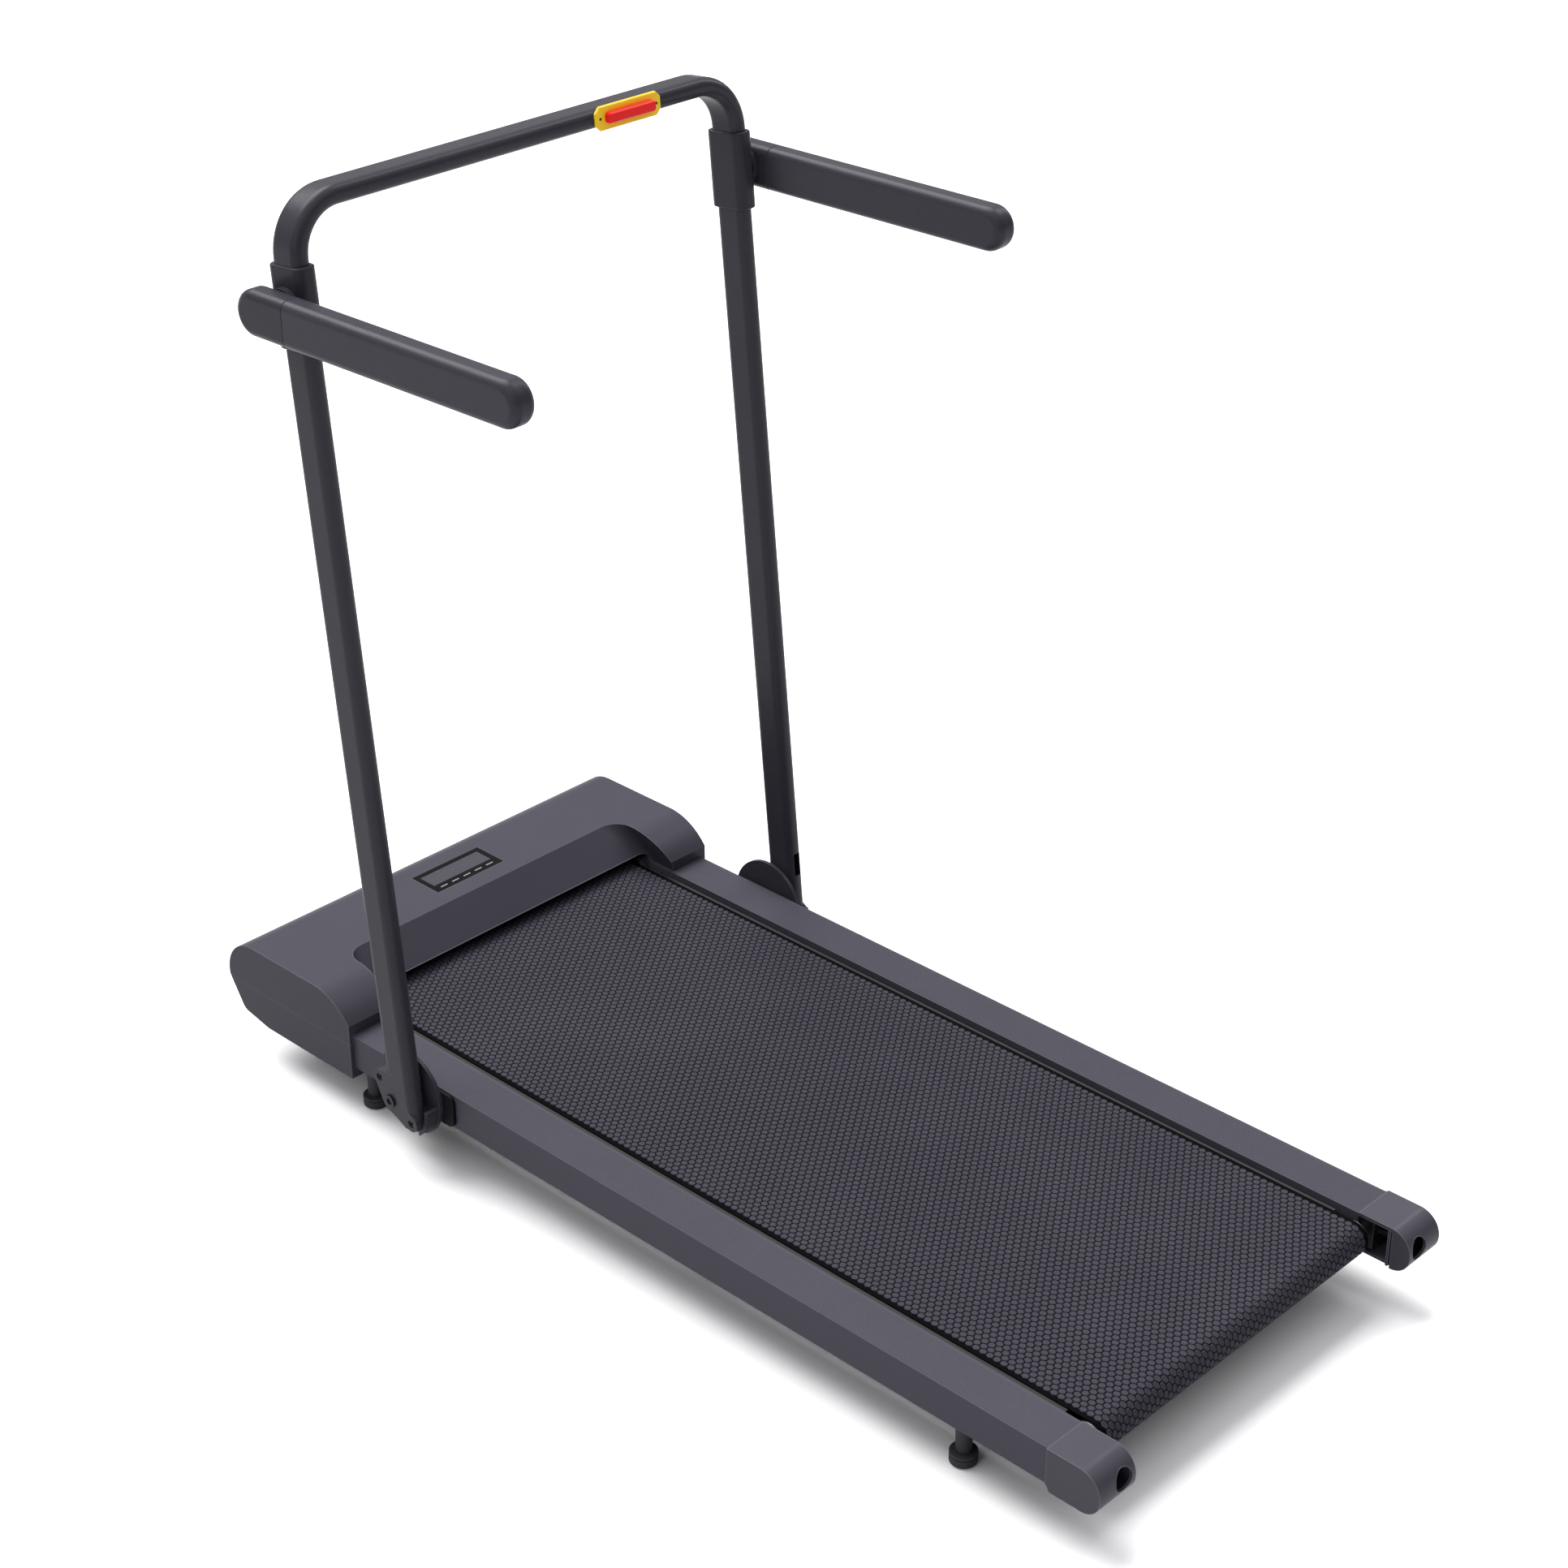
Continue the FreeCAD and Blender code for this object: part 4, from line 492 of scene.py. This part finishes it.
# raised cells on the belt: rows laid round its loop, every other row shifted by one column
def cellRecipe(look):
    recipe = Recipe("beltCells", {
        "Rows": "Int", "Columns": "Int", "Column Pitch": "Float", "Row Start": "Float",
        "Loop Length": "Float", "Loop Radius": "Float", "Straight Half": "Float", "Cell Size": "Vector",
        "Top Size": "Float", "Upper Half": "Bool", "Place": "Vector", "Finish": "Material"})
    given = recipe.given.outputs
    height = recipe.maths("MULTIPLY", given["Loop Radius"], 2.0)
    oblong = recipe.node("GeometryNodeCurvePrimitiveQuadrilateral", Width=given["Loop Length"], Height=height)
    loop = recipe.node("GeometryNodeFilletCurve", {"mode": "POLY"}, Curve=oblong.outputs[0],
                       Count=look["turnSteps"], Radius=given["Loop Radius"])
    spots = recipe.node("GeometryNodeCurveToPoints", {"mode": "COUNT"}, Curve=loop.outputs[0],
                        Count=given["Rows"])
    cone = recipe.node("GeometryNodeMeshCone", {"fill_type": "NGON"}, Vertices=look["sides"],
                       Radius_Bottom=1.0, Radius_Top=given["Top Size"], Depth=1.0)
    cell = recipe.node("GeometryNodeTransform", Geometry=cone.outputs["Mesh"], Scale=given["Cell Size"],
                       Rotation=(0, 0, math.pi / 2))
    start = recipe.node("ShaderNodeCombineXYZ", Y=given["Row Start"])
    gap = recipe.maths("MULTIPLY", given["Column Pitch"], 2.0)
    step = recipe.node("ShaderNodeCombineXYZ", Y=gap)
    line = recipe.node("GeometryNodeMeshLine", Count=given["Columns"], Start_Location=start.outputs[0],
                       Offset=step.outputs[0])
    row = recipe.node("GeometryNodeInstanceOnPoints", Points=line.outputs[0], Instance=cell.outputs[0])
    place = recipe.node("GeometryNodeInputPosition")
    parts = recipe.node("ShaderNodeSeparateXYZ", Vector=place.outputs[0])
    back = recipe.maths("MULTIPLY", given["Straight Half"], -1.0)
    along = recipe.node("ShaderNodeClamp", Value=parts.outputs["X"], Min=back, Max=given["Straight Half"])
    centre = recipe.node("ShaderNodeCombineXYZ", X=along.outputs[0])
    outward = recipe.node("ShaderNodeVectorMath", {"operation": "SUBTRACT"})
    recipe.join(place.outputs[0], outward.inputs[0])
    recipe.join(centre.outputs[0], outward.inputs[1])
    raised = recipe.node("FunctionNodeAlignRotationToVector", {"axis": "Z"}, Vector=outward.outputs[0])
    turned = recipe.node("FunctionNodeAlignRotationToVector", {"axis": "Y", "pivot_axis": "Z"},
                         Rotation=raised.outputs[0], Vector=(0, 0, 1))
    laid = recipe.node("GeometryNodeInstanceOnPoints", Points=spots.outputs["Points"],
                       Instance=row.outputs[0], Rotation=turned.outputs[0])
    number = recipe.node("GeometryNodeInputIndex")
    odd = recipe.maths("MODULO", number.outputs[0], 2.0)
    shift = recipe.node("ShaderNodeCombineXYZ", Y=recipe.maths("MULTIPLY", odd, given["Column Pitch"]))
    staggered = recipe.node("GeometryNodeTranslateInstances", Instances=laid.outputs[0],
                            Translation=shift.outputs[0])
    above = recipe.maths("GREATER_THAN", parts.outputs["Y"], 0.0)
    wrong = recipe.node("FunctionNodeBooleanMath", {"operation": "XOR"})
    recipe.join(above, wrong.inputs[0])
    recipe.join(given["Upper Half"], wrong.inputs[1])
    half = recipe.node("GeometryNodeDeleteGeometry", {"domain": "INSTANCE"}, Geometry=staggered.outputs[0],
                       Selection=wrong.outputs[0])
    whole = recipe.node("GeometryNodeRealizeInstances", Geometry=half.outputs[0])
    turn = Matrix(((0, 0, 1), (1, 0, 0), (0, 1, 0))).to_euler()
    stood = recipe.node("GeometryNodeTransform", Geometry=whole.outputs[0], Rotation=tuple(turn),
                        Translation=given["Place"])
    painted = recipe.node("GeometryNodeSetMaterial", Geometry=stood.outputs[0], Material=given["Finish"])
    recipe.join(painted.outputs[0], recipe.result.inputs[0])
    return recipe


beltCellLook = {"columnPitch": 6.19 * mm, "rowPitch": 8.33 * mm, "columns": 64, "fill": 0.9, "topSize": 0.84,
                "relief": 0.5 * mm, "buried": 0.1 * mm, "sides": 6, "turnSteps": 16}


def addBeltCells(recipe, half, look):
    low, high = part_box("running_belt")
    outer = (high.z - low.z) / 2
    radius = outer - look["relief"] - look["buried"]
    straight = (high.y - low.y) / 2 - outer
    around = 4 * straight + 2 * math.pi * radius
    rows = 2 * round(around / look["rowPitch"])
    across = look["columnPitch"] / 1.5 * look["fill"]  # columns of hexagons lie one and a half radii apart
    lengthwise = around / rows / math.sin(math.pi / 3) * look["fill"]
    mesh = recipe.run("beltCells", {
        "Rows": rows, "Columns": look["columns"] // 2, "Column Pitch": look["columnPitch"],
        "Row Start": -look["columnPitch"] * (look["columns"] - 1) / 2, "Loop Length": 2 * (straight + radius),
        "Loop Radius": radius, "Straight Half": straight,
        "Cell Size": (across, lengthwise, look["relief"] + look["buried"]), "Top Size": look["topSize"],
        "Upper Half": half == "upper", "Place": tuple((low + high) / 2), "Finish": finishes["belt_rubber"]})
    addPiece("belt_cells_" + half, mesh, "running_belt", "belt_rubber")


for node in sorted(nodes):
    if node != "running_belt":
        addSkin(node)
print("skins made:", len(nodes) - 1)
addBelt({"turnSteps": 24, "thickness": 1.6 * mm, "relief": beltCellLook["relief"], "sharp": 40})
cells = cellRecipe(beltCellLook)
for half in ("upper", "lower"):
    addBeltCells(cells, half, beltCellLook)
ribs = ribRecipe()
for side in ("left", "right"):
    addRailRibs(ribs, side, railRibLook)
    addCapSeal(side, {"width": 1.8 * mm, "proud": 0.35 * mm, "depth": 1.5 * mm})
print("belt and ribs made")


# a floor that throws less light back on the object than the camera sees on it
def addStage(look):
    mesh = bpy.data.meshes.new("studioFloor")
    half = look["half"]
    corners = [(x, y, look["level"]) for x, y in ((-half, -half), (half, -half), (half, half), (-half, half))]
    mesh.from_pydata(corners, [], [(0, 1, 2, 3)])
    floor = bpy.data.objects.new("studio_floor", mesh)
    bpy.context.scene.collection.objects.link(floor)
    paint = newFinish("studioFloor")
    cloud = paint.noise(look["cloudScale"], 1)
    seen = Value(paint, paint.node("LightPath").outputs["Is Camera Ray"])
    tone = paint.mix(look["thrown"], paint.mix(look["paint"], look["pale"], cloud), seen)
    paint.set(Base_Color=tone, Roughness=look["roughness"] + cloud * look["spread"])
    paint.set(Specular_IOR_Level=0.0)
    mesh.materials.append(paint.owner)


def addLight(name, look):
    lamp = bpy.data.lights.new(name, "AREA")
    lamp.shape = "RECTANGLE"
    lamp.size, lamp.size_y = look["size"]
    lamp.energy = look["watts"]
    made = bpy.data.objects.new(name, lamp)
    made.location = look["at"]
    aim = Vector(look["aim"]) - Vector(look["at"])
    made.rotation_euler = aim.to_track_quat("-Z", "Y").to_euler()
    bpy.context.scene.collection.objects.link(made)


def addSun(look):
    lamp = bpy.data.lights.new("softSun", "SUN")
    lamp.energy = look["strength"]
    lamp.angle = math.radians(look["spread"])
    made = bpy.data.objects.new("soft_sun", lamp)
    made.rotation_euler = Vector(look["from"]).to_track_quat("Z", "Y").to_euler()
    bpy.context.scene.collection.objects.link(made)


# brighter overhead and past the hood, dark behind the walker, plain white as a backdrop
def addSky(look):
    world = bpy.data.worlds.new("studioSky")
    bpy.context.scene.world = world
    sky = Finish(world, "Background", "Generated")
    level = sky.z.ramp(*look["overheadRise"]) * look["overhead"]
    level = level + sky.y.ramp(*look["frontRise"]) * look["front"] + look["base"]
    behind = (sky.y * -1.0).ramp(*look["behindRise"]) * (1 - sky.z.ramp(*look["behindFade"]))
    level = level * (1 - behind * look["darkness"])
    white = Value(sky, sky.node("LightPath").outputs["Is Camera Ray"])
    sky.feed(sky.shader.inputs["Strength"], level * (1 - white) + white)
    sky.shader.inputs["Color"].default_value = look["colour"] + (1.0,)


def addCamera(look):
    lens = bpy.data.cameras.new("studioCamera")
    lens.lens = look["lens"]
    lens.sensor_width = look["sensor"]
    lens.clip_end = look["clipEnd"]
    camera = bpy.data.objects.new("studio_camera", lens)
    turn, rise = math.radians(look["azimuth"]), math.radians(look["elevation"])
    back = Vector((math.sin(turn) * math.cos(rise), -math.cos(turn) * math.cos(rise), math.sin(rise)))
    camera.location = look["eye"]
    camera.rotation_euler = back.to_track_quat("Z", "Y").to_euler()
    bpy.context.scene.collection.objects.link(camera)
    bpy.context.scene.camera = camera


addStage({"half": 20, "level": -0.3 * mm, "thrown": (0.6, 0.6, 0.61), "paint": (0.97, 0.97, 0.975),
          "pale": (0.99, 0.99, 0.99), "cloudScale": 0.7, "roughness": 0.9, "spread": 0.05})
addSun({"strength": 3.9, "spread": 50, "from": (0.03, 0.52, 0.84)})
addLight("edgeStrip", {"size": (0.4, 2.6), "watts": 20, "at": (1.95, 0.1, 2.5), "aim": (0, 0.1, 0.2)})
addLight("leftStrip", {"size": (0.25, 1.8), "watts": 6, "at": (-2.9, -0.9, 1.9), "aim": (0, 0.3, 0.4)})
addSky({"colour": (1.0, 1.0, 1.02), "base": 0.2, "overhead": 0.95, "overheadRise": (0.0, 0.9), "front": 0.08,
        "frontRise": (-0.1, 0.9), "darkness": 0.95, "behindRise": (0.0, 0.85), "behindFade": (0.35, 0.95)})
addCamera({"eye": (-1.9543, -1.8429, 1.9181), "azimuth": -46.35, "elevation": 28.69, "lens": 72.12,
           "sensor": 36, "clipEnd": 60})
bpy.context.scene.view_settings.view_transform = "Standard"
print("stage set")
